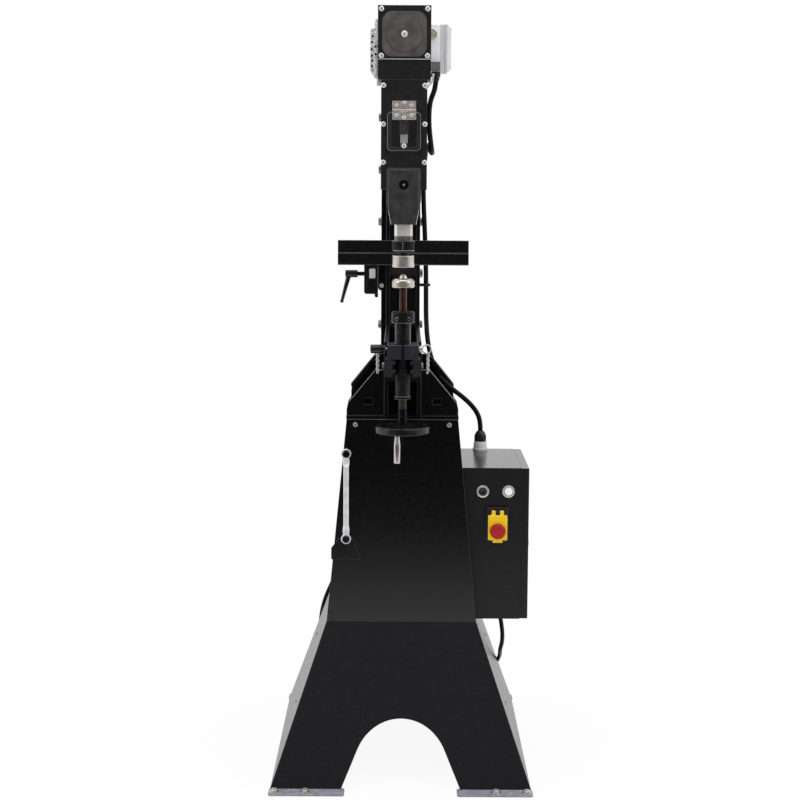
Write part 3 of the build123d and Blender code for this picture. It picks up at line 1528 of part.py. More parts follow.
# Pilot lamp: round lens on the case's front
lamp_radius = 14.0
lamp_out = 7.0
lamp_round = 3.0
with BuildPart() as pilot_lamp:
    with BuildSketch(Plane.XZ.offset(-box_front)):
        with Locations((lamp_x, button_z)):
            Circle(lamp_radius)
    extrude(amount=lamp_out)
    fillet(pilot_lamp.edges().sort_by(Axis.Y)[0], lamp_round)
pilot_lamp.part.label = "pilot_lamp"
export_step(pilot_lamp.part, "parts/pilot_lamp.step")

# Stop switch: back plate with a hinge lug and pin for the flap
switch_x = 231.0
switch_z = 603.5
switch_width = 53.0
switch_height = 85.0
switch_depth = 8.0
switch_face = box_front - switch_depth
switch_corner = 4.0
flap_rise = 32.0
flap_stand = 6.0
lug_depth = 9.0
lug_height = 6.0
flap_z = switch_z + flap_rise
flap_axis_y = switch_face - flap_stand
flap_pin_radius = 1.5
tab_x = 10.0
tab_width = 9.0
with BuildPart() as stop_switch_plate:
    with BuildSketch(Plane.XZ.offset(-box_front)):
        with Locations((switch_x, switch_z)):
            RectangleRounded(switch_width, switch_height, switch_corner)
    extrude(amount=switch_depth)
    with Locations((switch_x, switch_face - lug_depth / 2, flap_z)):
        Box(2 * tab_x - tab_width - 1, lug_depth, lug_height)
    with BuildSketch(Plane.YZ.offset(switch_x - tab_x - tab_width / 2)):
        with Locations((flap_axis_y, flap_z)):
            Circle(flap_pin_radius)
    extrude(amount=2 * tab_x + tab_width)
stop_switch_plate.part.label = "stop_switch_plate"
export_step(stop_switch_plate.part, "parts/stop_switch_plate.step")

# Yellow flap over the stop switch, hung on two tabs
flap_width = 46.0
flap_above = 25.0
flap_below = 36.0
flap_clear = 2.0
flap_corner = 3.0
flap_lip_width = 23.0
flap_lip = 6.0
tab_above = 4.0
tab_overlap = 6.0
tab_thickness = 8.0
flap_top = switch_z + flap_above
flap_bottom = switch_z - flap_below
flap_back = switch_face - flap_clear
tab_top = flap_z + tab_above
tab_bottom = flap_top - tab_overlap
flap_thickness = 9.0
mushroom_drop = 13.0
mushroom_z = switch_z - mushroom_drop
stem_radius = 7.0
with BuildPart() as stop_flap:
    with BuildSketch(Plane.XZ.offset(-flap_back)):
        with Locations((switch_x, (flap_top + flap_bottom) / 2)):
            RectangleRounded(flap_width, flap_top - flap_bottom, flap_corner)
        with Locations((switch_x, flap_bottom)):
            Rectangle(flap_lip_width, 2 * flap_lip)
    extrude(amount=flap_thickness)
    for side_x in (-1, 1):
        with BuildSketch(Plane.XZ.offset(-flap_back)):
            with Locations((switch_x + side_x * tab_x, (tab_top + tab_bottom) / 2)):
                Rectangle(tab_width, tab_top - tab_bottom)
        extrude(amount=tab_thickness)
    with BuildSketch(Plane.YZ.offset(switch_x - flap_width / 2)):
        with Locations((flap_axis_y, flap_z)):
            Circle(flap_pin_radius + running_clearance)
    extrude(amount=flap_width, mode=Mode.SUBTRACT)
    with BuildSketch(Plane.XZ.offset(-flap_back)):
        with Locations((switch_x, mushroom_z)):
            Circle(stem_radius + button_play)
    extrude(amount=flap_thickness, mode=Mode.SUBTRACT)
stop_flap.part.label = "stop_flap"
export_step(stop_flap.part, "parts/stop_flap.step")

# Red mushroom head on a stem through the flap
mushroom_radius = 18.8
mushroom_travel = 1.5
mushroom_height = 12.0
mushroom_round = 5.0
stem_short = 0.2
mushroom_back = flap_back - flap_thickness - mushroom_travel - 1
with BuildPart() as stop_mushroom:
    with BuildSketch(Plane.XZ.offset(-flap_back + stem_short)):
        with Locations((switch_x, mushroom_z)):
            Circle(stem_radius)
    extrude(amount=flap_back - mushroom_back)
    with BuildSketch(Plane.XZ.offset(-mushroom_back)):
        with Locations((switch_x, mushroom_z)):
            Circle(mushroom_radius)
    extrude(amount=mushroom_height)
    fillet(stop_mushroom.edges().sort_by(Axis.Y)[0], mushroom_round)
stop_mushroom.part.label = "stop_mushroom"
export_step(stop_mushroom.part, "parts/stop_mushroom.step")

# Speed controller on the case's rear wall, with cooling ribs
controller_x = 240.0
controller_size = 70.0
controller_height = 170.0
controller_low = box_bottom + 85.0
cooling_ribs = 7
rib_pitch = 9.0
rib_width = 3.0
rib_depth = 16.0
controller_back = box_back - box_wall
controller_y = controller_back - controller_size / 2
with BuildPart() as speed_controller:
    with Locations((controller_x, controller_y, controller_low + controller_height / 2)):
        Box(controller_size, controller_size, controller_height)
    with BuildSketch(Plane.XY.offset(controller_low)):
        with GridLocations(rib_pitch, 1, cooling_ribs, 1):
            with Locations((controller_x, controller_back - controller_size)):
                Rectangle(rib_width, rib_depth)
    extrude(amount=controller_height)
speed_controller.part.label = "speed_controller"
export_step(speed_controller.part, "parts/speed_controller.step")

# Cable glands: motor, control box top, mains exit, and the two ends of the rear lead
terminal_low = terminal_z - terminal_height / 2
motor_gland = (75.0, -125.0)
box_gland = (201.0, 112.0)
mains_exit = (250.0, 60.0)
gland_short = 22.0
motor_gland_radius = 10.5
box_gland_base = 19.0
box_gland_nut = 15.5
box_gland_nut_height = 27.0
box_gland_taper = 6.0
mains_gland_radius = 12.5
mains_gland_taper = 8.0
rear_gland_radius = 11.5
rear_gland = (-130.0, 430.0)
rear_gland_length = 18.0
low_gland_x = -221.0
low_gland_z = 190.0
low_gland_y = body_depth / 2 + (skirt_top - low_gland_z) * run_y / (skirt_top - foot_thickness)
skirt_out = Vector(0, skirt_top - foot_thickness, run_y).normalized()
low_gland_seat = Vector(low_gland_x, low_gland_y, low_gland_z)
with BuildPart() as cable_glands:
    with BuildSketch(Plane.XY.offset(terminal_low)):
        with Locations(motor_gland):
            RegularPolygon(motor_gland_radius, 6)
    extrude(amount=-gland_short)
    with BuildSketch(Plane.XY.offset(box_top)):
        with Locations(box_gland):
            Circle(box_gland_base)
    extrude(amount=gland_short)
    with BuildSketch(Plane.XY.offset(box_top + gland_short)):
        with Locations(box_gland):
            RegularPolygon(box_gland_nut, 6)
    extrude(amount=box_gland_nut_height, taper=box_gland_taper)
    with BuildSketch(Plane.XY.offset(box_bottom)):
        with Locations(mains_exit):
            RegularPolygon(mains_gland_radius, 6)
    extrude(amount=-gland_short, taper=mains_gland_taper)
    with BuildSketch(Plane.XZ.offset(-body_depth / 2)):
        with Locations(rear_gland):
            RegularPolygon(rear_gland_radius, 6)
    extrude(amount=-rear_gland_length)
    with BuildSketch(Plane(origin=low_gland_seat, x_dir=(1, 0, 0), z_dir=skirt_out)):
        RegularPolygon(rear_gland_radius, 6)
    extrude(amount=rear_gland_length)
cable_glands.part.label = "cable_glands"
export_step(cable_glands.part, "parts/cable_glands.step")


def bend_radii(points):
    """Largest tangent arcs for a route: 0.45 of the shorter run over the tangent of half the turn."""
    radii = []
    for before, here, after in zip(points, points[1:], points[2:]):
        run_in = Vector(*here) - Vector(*before)
        run_out = Vector(*after) - Vector(*here)
        shorter = min(run_in.length, run_out.length)
        turn = radians(run_in.get_angle(run_out))
        radii.append(0.45 * shorter / tan(turn / 2))
    return radii


# Motor cable: from the terminal box back along the arm, down the column and out to the control box.
# Rear lead: between the stand's rear panel and the base's rear panel, round the left corner.
motor_cable_radius = 6.25
lead_radius = 5.5
low_gland_end = low_gland_seat + skirt_out * rear_gland_length
first_run = 23.0
box_gland_end = box_top + gland_short + box_gland_nut_height
low_gland_turn = low_gland_end + skirt_out * 30
motor_cable_route = [
    (motor_gland[0], motor_gland[1], terminal_low - gland_short),
    (motor_gland[0], motor_gland[1], terminal_low - gland_short - 40),
    (72, -124, 1580),
    (70, -118, 1545),
    (69, -106, 1518),
    (67, -84, 1502),
    (64, -50, 1496),
    (62, -8, 1495),
    (62, 38, 1497),
    (62, 104, 1500),
    (61, 165, 1498),
    (60, 208, 1461),
    (60, 228, 1405),
    (60, 232, 1340),
    (61, 230, 1270),
    (60, 231, 1200),
    (60, 229, 1130),
    (60, 221, 1068),
    (65, 198, 1010),
    (78, 172, 956),
    (98, 150, 922),
    (123, 134, 899),
    (150, 122, 880),
    (174, 115, 860),
    (192, 112, 838),
    (box_gland[0], box_gland[1], box_gland_end + first_run),
    (box_gland[0], box_gland[1], box_gland_end),
]
rear_lead_route = [
    (rear_gland[0], body_depth / 2 + rear_gland_length, rear_gland[1]),
    (rear_gland[0], body_depth / 2 + rear_gland_length + 38, rear_gland[1]),
    (-135, 294, 424),
    (-147, 328, 406),
    (-165, 350, 377),
    (-184, 361, 343),
    (-201, 365, 307),
    (-214, 361, 271),
    (-220, 348, 237),
    (low_gland_turn.X, low_gland_turn.Y, low_gland_turn.Z),
    (low_gland_end.X, low_gland_end.Y, low_gland_end.Z),
]
with BuildPart() as fixed_cables:
    for route, radius in ((motor_cable_route, motor_cable_radius), (rear_lead_route, lead_radius)):
        with BuildLine() as cable_line:
            FilletPolyline(*route, radius=bend_radii(route))
        with BuildSketch(Plane(origin=cable_line.line @ 0, z_dir=cable_line.line % 0)):
            Circle(radius)
        sweep()
        print("cable radii", [round(bend) for bend in bend_radii(route)])
fixed_cables.part.label = "fixed_cables"
export_step(fixed_cables.part, "parts/fixed_cables.step")

# Mains lead: from its gland under the control box, back past the base's rear corner and down to the floor
coil_x = 30.0
coil_y = 485.0
coil_radius = 72.0
floor_gap = 0.2
coil_z = lead_radius + floor_gap
coil_start = (coil_x + 2 * lead_radius, coil_y - coil_radius, coil_z)
mains_route = [
    (mains_exit[0], mains_exit[1], box_bottom - gland_short),
    (mains_exit[0], mains_exit[1], box_bottom - gland_short - 30),
    (254, 70, 288),
    (262, 93, 263),
    (268, 130, 241),
    (271, 175, 218),
    (272, 222, 195),
    (271, 268, 171),
    (267, 310, 145),
    (259, 348, 115),
    (246, 380, 84),
    (228, 404, 55),
    (203, 418, 31),
    (172, 421.5, 13.5),
    (135, 417, 6.4),
    (92, coil_start[1], coil_z),
    coil_start,
]
with BuildPart() as mains_lead:
    with BuildLine() as mains_line:
        FilletPolyline(*mains_route, radius=bend_radii(mains_route))
    with BuildSketch(Plane(origin=mains_line.line @ 0, z_dir=mains_line.line % 0)):
        Circle(lead_radius)
    sweep()
print("mains radii", [round(bend) for bend in bend_radii(mains_route)])
print("mains length", round(mains_line.wire().length))
mains_lead.part.label = "mains_lead"
export_step(mains_lead.part, "parts/mains_lead.step")

# Coil of the put-away lead: half turns inwards on the floor, a climbing one, half turns outwards on top
turn_pitch = 11.8
floor_turns = (0, 1, 2, 3, 4)
climb_turn = 5
top_turns = (4, 2, 1)
layer_gap = 0.6
coil_layer = 2 * lead_radius + layer_gap
coil_tail = 45.0


def half_turn(start, tangent, radius, climb):
    """Two equal arcs clockwise through half a turn, rising by climb; gives the middle and end points."""
    side = Vector(tangent.Y, -tangent.X, 0)
    end = start + side * (2 * radius) + Vector(0, 0, climb)
    chord = (end - start).length
    middle = (start + end) * 0.5 + tangent * (chord / 2)
    return middle, end


with BuildPart() as mains_coil:
    with BuildLine() as coil_line:
        here = Vector(coil_x, coil_y - coil_radius, coil_z)
        tangent = Vector(-1, 0, 0)
        Line(coil_start, here)
        for inset in (*floor_turns, climb_turn, *top_turns):
            radius = coil_radius - inset * turn_pitch / 2
            climb = coil_layer if inset == climb_turn else 0
            middle, end = half_turn(here, tangent, radius, climb)
            TangentArc(here, middle, tangent=tangent)
            TangentArc(middle, end, tangent=(end - here).normalized())
            here = end
            tangent = tangent * -1
        tail_end = here + tangent * coil_tail
        Line(here, tail_end)
    with BuildSketch(Plane(origin=coil_start, z_dir=(-1, 0, 0))):
        Circle(lead_radius)
    coil_path = coil_line.wire()
    sweep(path=coil_path)
mains_coil.part.label = "mains_coil"
export_step(mains_coil.part, "parts/mains_coil.step")

# Least gap of the coil to itself, measured on points along it
coil_length = coil_path.length
samples = 700
coil_points = []
for index in range(samples + 1):
    coil_points.append(coil_path @ (index / samples))
near_run = 60.0
skip = int(samples * near_run / coil_length)
least = coil_length
for index, point in enumerate(coil_points):
    for other in coil_points[index + skip:]:
        least = min(least, (point - other).length)
print("coil length", round(coil_length), "least gap", round(least - 2 * lead_radius, 2))

# Mains plug with a tapered strain relief, lying beside the coil
relief_length = 35.0
relief_radius = 9.0
plug_radius = 17.0
plug_length = 45.0
plug_pin_radius = 2.4
plug_pin_length = 19.0
plug_pin_x = 9.5
plug_round = 2.0
with BuildPart() as mains_plug:
    with BuildSketch(Plane(origin=tail_end, x_dir=(0, 1, 0), z_dir=(1, 0, 0))):
        Circle(lead_radius + 1)
    with BuildSketch(Plane(origin=tail_end + tangent * relief_length, x_dir=(0, 1, 0), z_dir=(1, 0, 0))):
        Circle(relief_radius)
    loft()
    with BuildSketch(Plane(origin=tail_end + tangent * relief_length, x_dir=(0, 1, 0), z_dir=(1, 0, 0))):
        Circle(plug_radius)
    extrude(amount=plug_length)
    fillet(mains_plug.edges().filter_by(GeomType.CIRCLE).sort_by(Axis.X)[-1], plug_round)
    with BuildSketch(
        Plane(origin=tail_end + tangent * (relief_length + plug_length), x_dir=(0, 1, 0), z_dir=(1, 0, 0))
    ):
        with Locations((-plug_pin_x, 0), (plug_pin_x, 0)):
            Circle(plug_pin_radius)
    extrude(amount=plug_pin_length)
mains_plug.part.label = "mains_plug"
export_step(mains_plug.part, "parts/mains_plug.step")

# Double ring spanner, hung on two pegs on the stand's front
spanner_x = -134.0
spanner_low = 572.0
spanner_high = 779.0
ring_outer = 12.0
ring_bore = 8.5
peg_play = 0.3
spanner_stand = 6.0
spanner_back = body_depth / 2 + spanner_stand
spanner_thickness = 8.0
bar_width = 13.0
bar_thickness = 5.0
with BuildPart() as spanner:
    with BuildSketch(Plane.XZ.offset(spanner_back)):
        with Locations((spanner_x, spanner_low), (spanner_x, spanner_high)):
            Circle(ring_outer)
    extrude(amount=spanner_thickness)
    with BuildSketch(Plane.XZ.offset(spanner_back + (spanner_thickness - bar_thickness) / 2)):
        with Locations((spanner_x, (spanner_low + spanner_high) / 2)):
            Rectangle(bar_width, spanner_high - spanner_low)
    extrude(amount=bar_thickness)
    with BuildSketch(Plane.XZ.offset(spanner_back)):
        with Locations((spanner_x, spanner_low), (spanner_x, spanner_high)):
            Circle(ring_bore)
    extrude(amount=spanner_thickness, mode=Mode.SUBTRACT)
spanner.part.label = "spanner"
export_step(spanner.part, "parts/spanner.step")

# Spanner bracket: screwed plate with the lower peg, and the upper peg
bracket_width = 72.0
bracket_top_width = 36.0
bracket_height = 52.0
bracket_shoulder = 24.0
bracket_top = spanner_low
bracket_thickness = 4.0
peg_length = 20.0
with BuildPart() as spanner_bracket:
    with BuildSketch(Plane.XZ.offset(body_depth / 2)):
        with BuildLine():
            Polyline(
                (spanner_x - bracket_width / 2, bracket_top - bracket_height),
                (spanner_x + bracket_width / 2, bracket_top - bracket_height),
                (spanner_x + bracket_top_width / 2, bracket_top),
                (spanner_x - bracket_top_width / 2, bracket_top),
                (spanner_x - bracket_width / 2, bracket_top - bracket_shoulder),
                close=True,
            )
        make_face()
    extrude(amount=bracket_thickness)
    with BuildSketch(Plane.XZ.offset(body_depth / 2)):
        with Locations((spanner_x, spanner_low), (spanner_x, spanner_high)):
            Circle(ring_bore - peg_play)
    extrude(amount=peg_length)
spanner_bracket.part.label = "spanner_bracket"
export_step(spanner_bracket.part, "parts/spanner_bracket.step")
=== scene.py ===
import json
from math import cos, hypot, pi, radians, sin

import bmesh
import bpy
from mathutils import Matrix, Vector

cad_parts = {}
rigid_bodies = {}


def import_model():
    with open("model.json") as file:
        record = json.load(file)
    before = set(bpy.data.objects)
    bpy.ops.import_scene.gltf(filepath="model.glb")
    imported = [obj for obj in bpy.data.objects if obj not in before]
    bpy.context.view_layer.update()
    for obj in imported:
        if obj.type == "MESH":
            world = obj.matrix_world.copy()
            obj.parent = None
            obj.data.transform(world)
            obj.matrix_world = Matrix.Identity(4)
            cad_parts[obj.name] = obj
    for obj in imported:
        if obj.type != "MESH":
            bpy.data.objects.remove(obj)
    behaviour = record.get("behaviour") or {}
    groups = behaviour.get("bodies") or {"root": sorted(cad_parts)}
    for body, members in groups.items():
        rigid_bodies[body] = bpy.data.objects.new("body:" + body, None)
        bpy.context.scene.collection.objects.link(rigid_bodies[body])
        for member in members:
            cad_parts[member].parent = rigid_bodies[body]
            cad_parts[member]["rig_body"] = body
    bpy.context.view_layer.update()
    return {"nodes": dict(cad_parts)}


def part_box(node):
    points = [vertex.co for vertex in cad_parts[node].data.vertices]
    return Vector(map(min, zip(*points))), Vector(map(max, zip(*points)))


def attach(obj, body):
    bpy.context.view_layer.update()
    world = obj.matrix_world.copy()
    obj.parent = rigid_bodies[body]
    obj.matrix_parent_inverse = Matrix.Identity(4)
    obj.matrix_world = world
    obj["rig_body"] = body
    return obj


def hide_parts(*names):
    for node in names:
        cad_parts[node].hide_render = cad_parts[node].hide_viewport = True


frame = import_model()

# Base skirt: arched front and rear panels with two sloping side panels between them.
# Folded from 5 mm steel sheet, welded inside the corners and powder coated satin black.
# The sloping side panels are painted a lighter black for the light they catch, and the rounded edges light
# grey as painted highlights.
mm = 0.001
noise_span = {1: 0.32, 2: 0.68}


def shade(tone):
    """A colour in 0 to 255 levels, as the linear values that a shader takes."""
    linear = []
    for level in tone:
        part = level / 255
        linear.append(part / 12.92 if part <= 0.04045 else ((part + 0.055) / 1.055) ** 2.4)
    return (*linear, 1.0)


def add_node(tree, kind, inputs=(), **settings):
    """Adds a node, its inputs given as values or as sockets to join, and returns its outputs."""
    made = tree.nodes.new(kind)
    for key, value in settings.items():
        setattr(made, key, value)
    for key, value in dict(inputs).items():
        if isinstance(value, bpy.types.NodeSocket):
            tree.links.new(value, made.inputs[key])
        else:
            made.inputs[key].default_value = value
    return made.outputs


def finish_of(
    name, dark, light, rough, metal=0, mottle=25, grain=0, fine=1200, stretch=(1, 1, 1), gloss=0.5
):
    """A finish on Object coordinates: tone and roughness follow one noise, a bump follows a finer one."""
    material = bpy.data.materials.new(name)
    material.use_nodes = True
    tree = material.node_tree
    shader = tree.nodes["Principled BSDF"]
    place = add_node(tree, "ShaderNodeTexCoord")["Object"]
    spread = add_node(tree, "ShaderNodeMapping", {"Vector": place, "Scale": stretch})[0]
    cloud = add_node(tree, "ShaderNodeTexNoise", {"Vector": spread, "Scale": mottle, "Detail": 6})[0]
    share = add_node(tree, "ShaderNodeMapRange", {0: cloud, **noise_span})[0]
    tone = add_node(tree, "ShaderNodeMix", {0: share, 6: shade(dark), 7: shade(light)}, data_type="RGBA")[2]
    dull = add_node(tree, "ShaderNodeMapRange", {0: cloud, **noise_span, 3: rough[0], 4: rough[1]})[0]
    speck = add_node(tree, "ShaderNodeTexNoise", {"Vector": spread, "Scale": fine, "Detail": 2})[0]
    bump = add_node(tree, "ShaderNodeBump", {"Strength": grain, "Distance": 0.3 * mm, "Height": speck})[0]
    for socket, source in (("Base Color", tone), ("Roughness", dull), ("Normal", bump)):
        tree.links.new(source, shader.inputs[socket])
    shader.inputs["Metallic"].default_value = metal
    shader.inputs["Specular IOR Level"].default_value = gloss
    return material


def link_in(name, data):
    """A new object of the given data, linked into the scene."""
    made = bpy.data.objects.new(name, data)
    bpy.context.scene.collection.objects.link(made)
    return made


def settle(piece):
    """Turns the piece's modifiers into its own plain mesh."""
    bpy.context.view_layer.update()
    graph = bpy.context.evaluated_depsgraph_get()
    mesh = bpy.data.meshes.new_from_object(piece.evaluated_get(graph))
    piece.modifiers.clear()
    piece.data = mesh
    return piece


def carry(piece, body, slot, *nodes):
    """Fixes a finished piece to a body and hides the nodes it stands for; the finish slot it is given is not
    used.
    """
    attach(piece, body)
    if nodes:
        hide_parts(*nodes)
    return piece


def rounded_over(mesh, paint, edge, rounding, sharp=40):
    """An object of the mesh in a paint finish, its hard edges rounded over in the edge finish."""
    for material in (paint, edge):
        mesh.materials.append(material)
    for face in mesh.polygons:
        face.material_index = 0
    mesh.shade_smooth()
    mesh.set_sharp_from_angle(angle=radians(sharp))
    piece = link_in(mesh.name, mesh)
    rounded = piece.modifiers.new("rounded", "BEVEL")
    rounded.width = rounding * mm
    rounded.segments = 2
    rounded.limit_method = "ANGLE"
    rounded.angle_limit = radians(sharp)
    rounded.use_clamp_overlap = False
    rounded.material = 1
    piece.modifiers.new("weighted", "WEIGHTED_NORMAL").keep_sharp = True
    return settle(piece)


def merged(node):
    """A working copy of a CAD node's mesh, its doubled points merged."""
    shape = bmesh.new()
    shape.from_mesh(frame["nodes"][node].data)
    bmesh.ops.remove_doubles(shape, verts=shape.verts, dist=0.01 * mm)
    return shape


def finished(node, slot, paint, edge, rounding=0.8, sharp=40, join=True):
    """A copy of a CAD node, flat faces joined and hard edges rounded over in the edge finish."""
    shape = merged(node)
    if join:
        bmesh.ops.dissolve_limit(shape, angle_limit=radians(0.4), verts=shape.verts, edges=shape.edges)
    mesh = bpy.data.meshes.new(node + "_skin")
    shape.to_mesh(mesh)
    shape.free()
    for layer in ("custom_normal", "sharp_edge", "sharp_face"):
        if layer in mesh.attributes:
            mesh.attributes.remove(mesh.attributes[layer])
    piece = rounded_over(mesh, paint, edge, rounding, sharp)
    return carry(piece, frame["nodes"][node]["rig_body"], slot, node)


black_coat = finish_of(
    "black_coat", (16, 14, 18), (20, 18, 23), (0.34, 0.44), mottle=160, grain=0.3, gloss=0.3
)
side_coat = finish_of("side_coat", (26, 24, 30), (36, 34, 40), (0.24, 0.34), mottle=90, grain=0.05, gloss=0.3)
# A light grey for rounded edges: a painted highlight wherever it is used.
coat_edge = finish_of("coat_edge", (44, 43, 46), (60, 59, 62), (0.3, 0.4), grain=0.15, gloss=0.3)
finished("base_end_panels", "black_paint", black_coat, coat_edge, 1.0)
finished("base_side_panels", "black_paint", side_coat, coat_edge, 1.0)

# Panel screws of the base: two in the middle of each side panel.
# Blackened button-head machine screws with a hexagon socket, driven into a brace inside.


def box_mm(node):
    """The low corner, high corner and middle of a CAD node's box in mm."""
    low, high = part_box(node)
    return low / mm, high / mm, (low + high) / (2 * mm)


def skin(shape, rows, closed=False, capped=False):
    """Adds faces between successive rows of points in mm; a row of one point is a tip."""
    rings = [[shape.verts.new(Vector(point) * mm) for point in row] for row in rows]
    steps = max(len(ring) for ring in rings)
    for near, far in zip(rings, rings[1:] + (rings[:1] if closed else [])):
        for step in range(steps):
            corners = []
            for ring, spot in ((near, step), (near, step + 1), (far, step + 1), (far, step)):
                corners.append(ring[spot % len(ring)])
            shape.faces.new(list(dict.fromkeys(corners)))
    if capped:
        shape.faces.new(rings[0])
        shape.faces.new(rings[-1])


def mesh_of(name, shape, sharp=40):
    """A smooth mesh of a working shape, sharp at edges over an angle in degrees."""
    bmesh.ops.recalc_face_normals(shape, faces=shape.faces)
    mesh = bpy.data.meshes.new(name)
    shape.to_mesh(mesh)
    shape.free()
    mesh.shade_smooth()
    mesh.set_sharp_from_angle(angle=radians(sharp))
    return mesh


def turned(profile, steps=48, hexes=(), closed=False):
    """A turned mesh about Z from (radius, height) pairs in mm; the rings numbered in hexes are six-sided."""
    rows = []
    for number, (radius, height) in enumerate(profile):
        row = []
        for step in range(steps if radius else 1):
            angle = 2 * pi * step / steps
            reach = radius
            if number in hexes:
                reach *= cos(pi / 6) / cos(angle % (pi / 3) - pi / 6)
            row.append((reach * cos(angle), reach * sin(angle), height))
        rows.append(row)
    shape = bmesh.new()
    skin(shape, rows, closed)
    return mesh_of("turned", shape, 38)


def open_tree(name, given, made):
    """A node tree with named inputs of the given kinds and one output, and the sockets of its inputs."""
    tree = bpy.data.node_groups.new(name, "GeometryNodeTree")
    for label, kind in given.items():
        tree.interface.new_socket(name=label, in_out="INPUT", socket_type="NodeSocket" + kind)
    tree.interface.new_socket(name=made, in_out="OUTPUT", socket_type="NodeSocketGeometry")
    return tree, tree.nodes.new("NodeGroupInput").outputs


def close_tree(tree, inputs, finish):
    """Ends a node tree: instances on points, made real, in the finish asked for."""
    placed = add_node(tree, "GeometryNodeInstanceOnPoints", inputs)[0]
    real = add_node(tree, "GeometryNodeRealizeInstances", {"Geometry": placed})[0]
    painted = add_node(tree, "GeometryNodeSetMaterial", {"Geometry": real, "Material": finish})[0]
    tree.links.new(painted, tree.nodes.new("NodeGroupOutput").inputs[0])
    return tree


def upright(tree):
    """The turn that points Z along each spot's own facing."""
    named = {"Name": "facing"}
    facing = add_node(tree, "GeometryNodeInputNamedAttribute", named, data_type="FLOAT_VECTOR")[0]
    return add_node(tree, "FunctionNodeAlignRotationToVector", {"Vector": facing}, axis="Z")[0]


def rolled(tree, turn, axis, angle):
    """A turn followed by a roll about one of its own axes."""
    roll = add_node(tree, "FunctionNodeAxisAngleToRotation", {"Axis": axis, "Angle": angle})[0]
    inputs = {"Rotation": turn, "Rotate By": roll}
    return add_node(tree, "FunctionNodeRotateRotation", inputs, rotation_space="LOCAL")[0]


def heads_tree():
    """Node tree that sets a head on every spot, along the spot's own direction, each turned by chance."""
    given = {"Spots": "Geometry", "Head": "Object", "Head Radius": "Float", "Head Height": "Float"}
    given.update({"Turn Seed": "Int", "Finish": "Material"})
    tree, ask = open_tree("heads_on_spots", given, "Heads")
    chance = add_node(tree, "FunctionNodeRandomValue", {2: 0.0, 3: 6.28, "Seed": ask["Turn Seed"]})[1]
    radius = ask["Head Radius"]
    size = add_node(tree, "ShaderNodeCombineXYZ", {0: radius, 1: radius, 2: ask["Head Height"]})[0]
    head = add_node(tree, "GeometryNodeObjectInfo", {"Object": ask["Head"]})["Geometry"]
    inputs = {"Points": ask["Spots"], "Instance": head, "Scale": size}
    inputs["Rotation"] = rolled(tree, upright(tree), (0, 0, 1), chance)
    return close_tree(tree, inputs, ask["Finish"])


def grown(name, mesh, tree, inputs):
    """An object whose mesh a node tree makes from the given one, already turned into a plain mesh."""
    piece = link_in(name, mesh)
    modifier = piece.modifiers.new(tree.name, "NODES")
    modifier.node_group = tree
    for item in tree.interface.items_tree:
        if item.in_out == "INPUT" and item.name in inputs:
            modifier[item.identifier] = inputs[item.name]
    return settle(piece)


def spot_mesh(spots):
    """Loose points in mm, each with the direction it faces."""
    mesh = bpy.data.meshes.new("spots")
    mesh.from_pydata([Vector(place) * mm for place, facing in spots], [], [])
    layer = mesh.attributes.new("facing", "FLOAT_VECTOR", "POINT")
    for index, (place, facing) in enumerate(spots):
        layer.data[index].vector = facing
    return mesh


def set_heads(name, head, radius, height, spots, finish, slot, seed=1, body="frame", nodes=()):
    """Like heads on many spots: head is a turned mesh 1 mm in radius and 1 mm high, sizes in mm."""
    pattern = link_in(name + "_pattern", head)
    inputs = {"Head": pattern, "Head Radius": radius, "Head Height": height}
    inputs.update({"Turn Seed": seed, "Finish": finish})
    piece = grown(name, spot_mesh(spots), placing, inputs)
    bpy.data.objects.remove(pattern)
    return carry(piece, body, slot, *nodes)


placing = heads_tree()
button_profile = (
    (0, 0), (0.97, 0), (1, 0.1), (0.95, 0.38), (0.82, 0.7), (0.62, 0.94), (0.46, 1), (0.42, 1),
    (0.39, 0.55), (0, 0.5),
)
button_head = turned(button_profile, 36, (7, 8))
dark_screw = finish_of("dark_screw", (24, 23, 24), (44, 42, 42), (0.3, 0.5), metal=0.7, mottle=300)
skirt_low, skirt_high = box_mm("base_side_panels")[:2]
stand_side = box_mm("stand_panels")[1].x
lean = (skirt_high.x - stand_side) / (skirt_high.z - skirt_low.z)
panel_spots = []
for along, height in ((57, 266), (-107, 138)):
    across = stand_side + (skirt_high.z - height) * lean
    for side in (-1, 1):
        panel_spots.append(((side * across, along, height), (side, 0, lean)))
set_heads("panel_screws", button_head, 4, 1.2, panel_spots, dark_screw, "dark_steel")

# Foot plates: four thin plates turned out at the skirt's corners, with rounded ends.
# Four millimetre sheet, coated with the skirt; painted lavender-grey for the sheen the coat catches, the flat
# tops lighter still for the light that falls on them.


def repaint(piece, finish, where):
    """Gives a finish to the faces for which where(face, the face's middle in mm) holds."""
    number = piece.data.materials.find(finish.name)
    if number < 0:
        number = len(piece.data.materials)
        piece.data.materials.append(finish)
    for face in piece.data.polygons:
        if where(face, face.center / mm):
            face.material_index = number


foot_coat = finish_of("foot_coat", (112, 110, 120), (138, 136, 148), (0.3, 0.42), mottle=60, grain=0.2)
foot_top = finish_of("foot_top", (140, 137, 151), (166, 163, 177), (0.3, 0.42), mottle=60, grain=0.2)
feet = finished("foot_plates", "black_paint", foot_coat, foot_coat, 0.5)
repaint(feet, foot_top, lambda face, at: face.normal.z > 0.9)

# Foot bolts: hexagon bolts of blue-white zinc over broad yellow-passivated washers.
# Two hold each foot plate down to the floor.


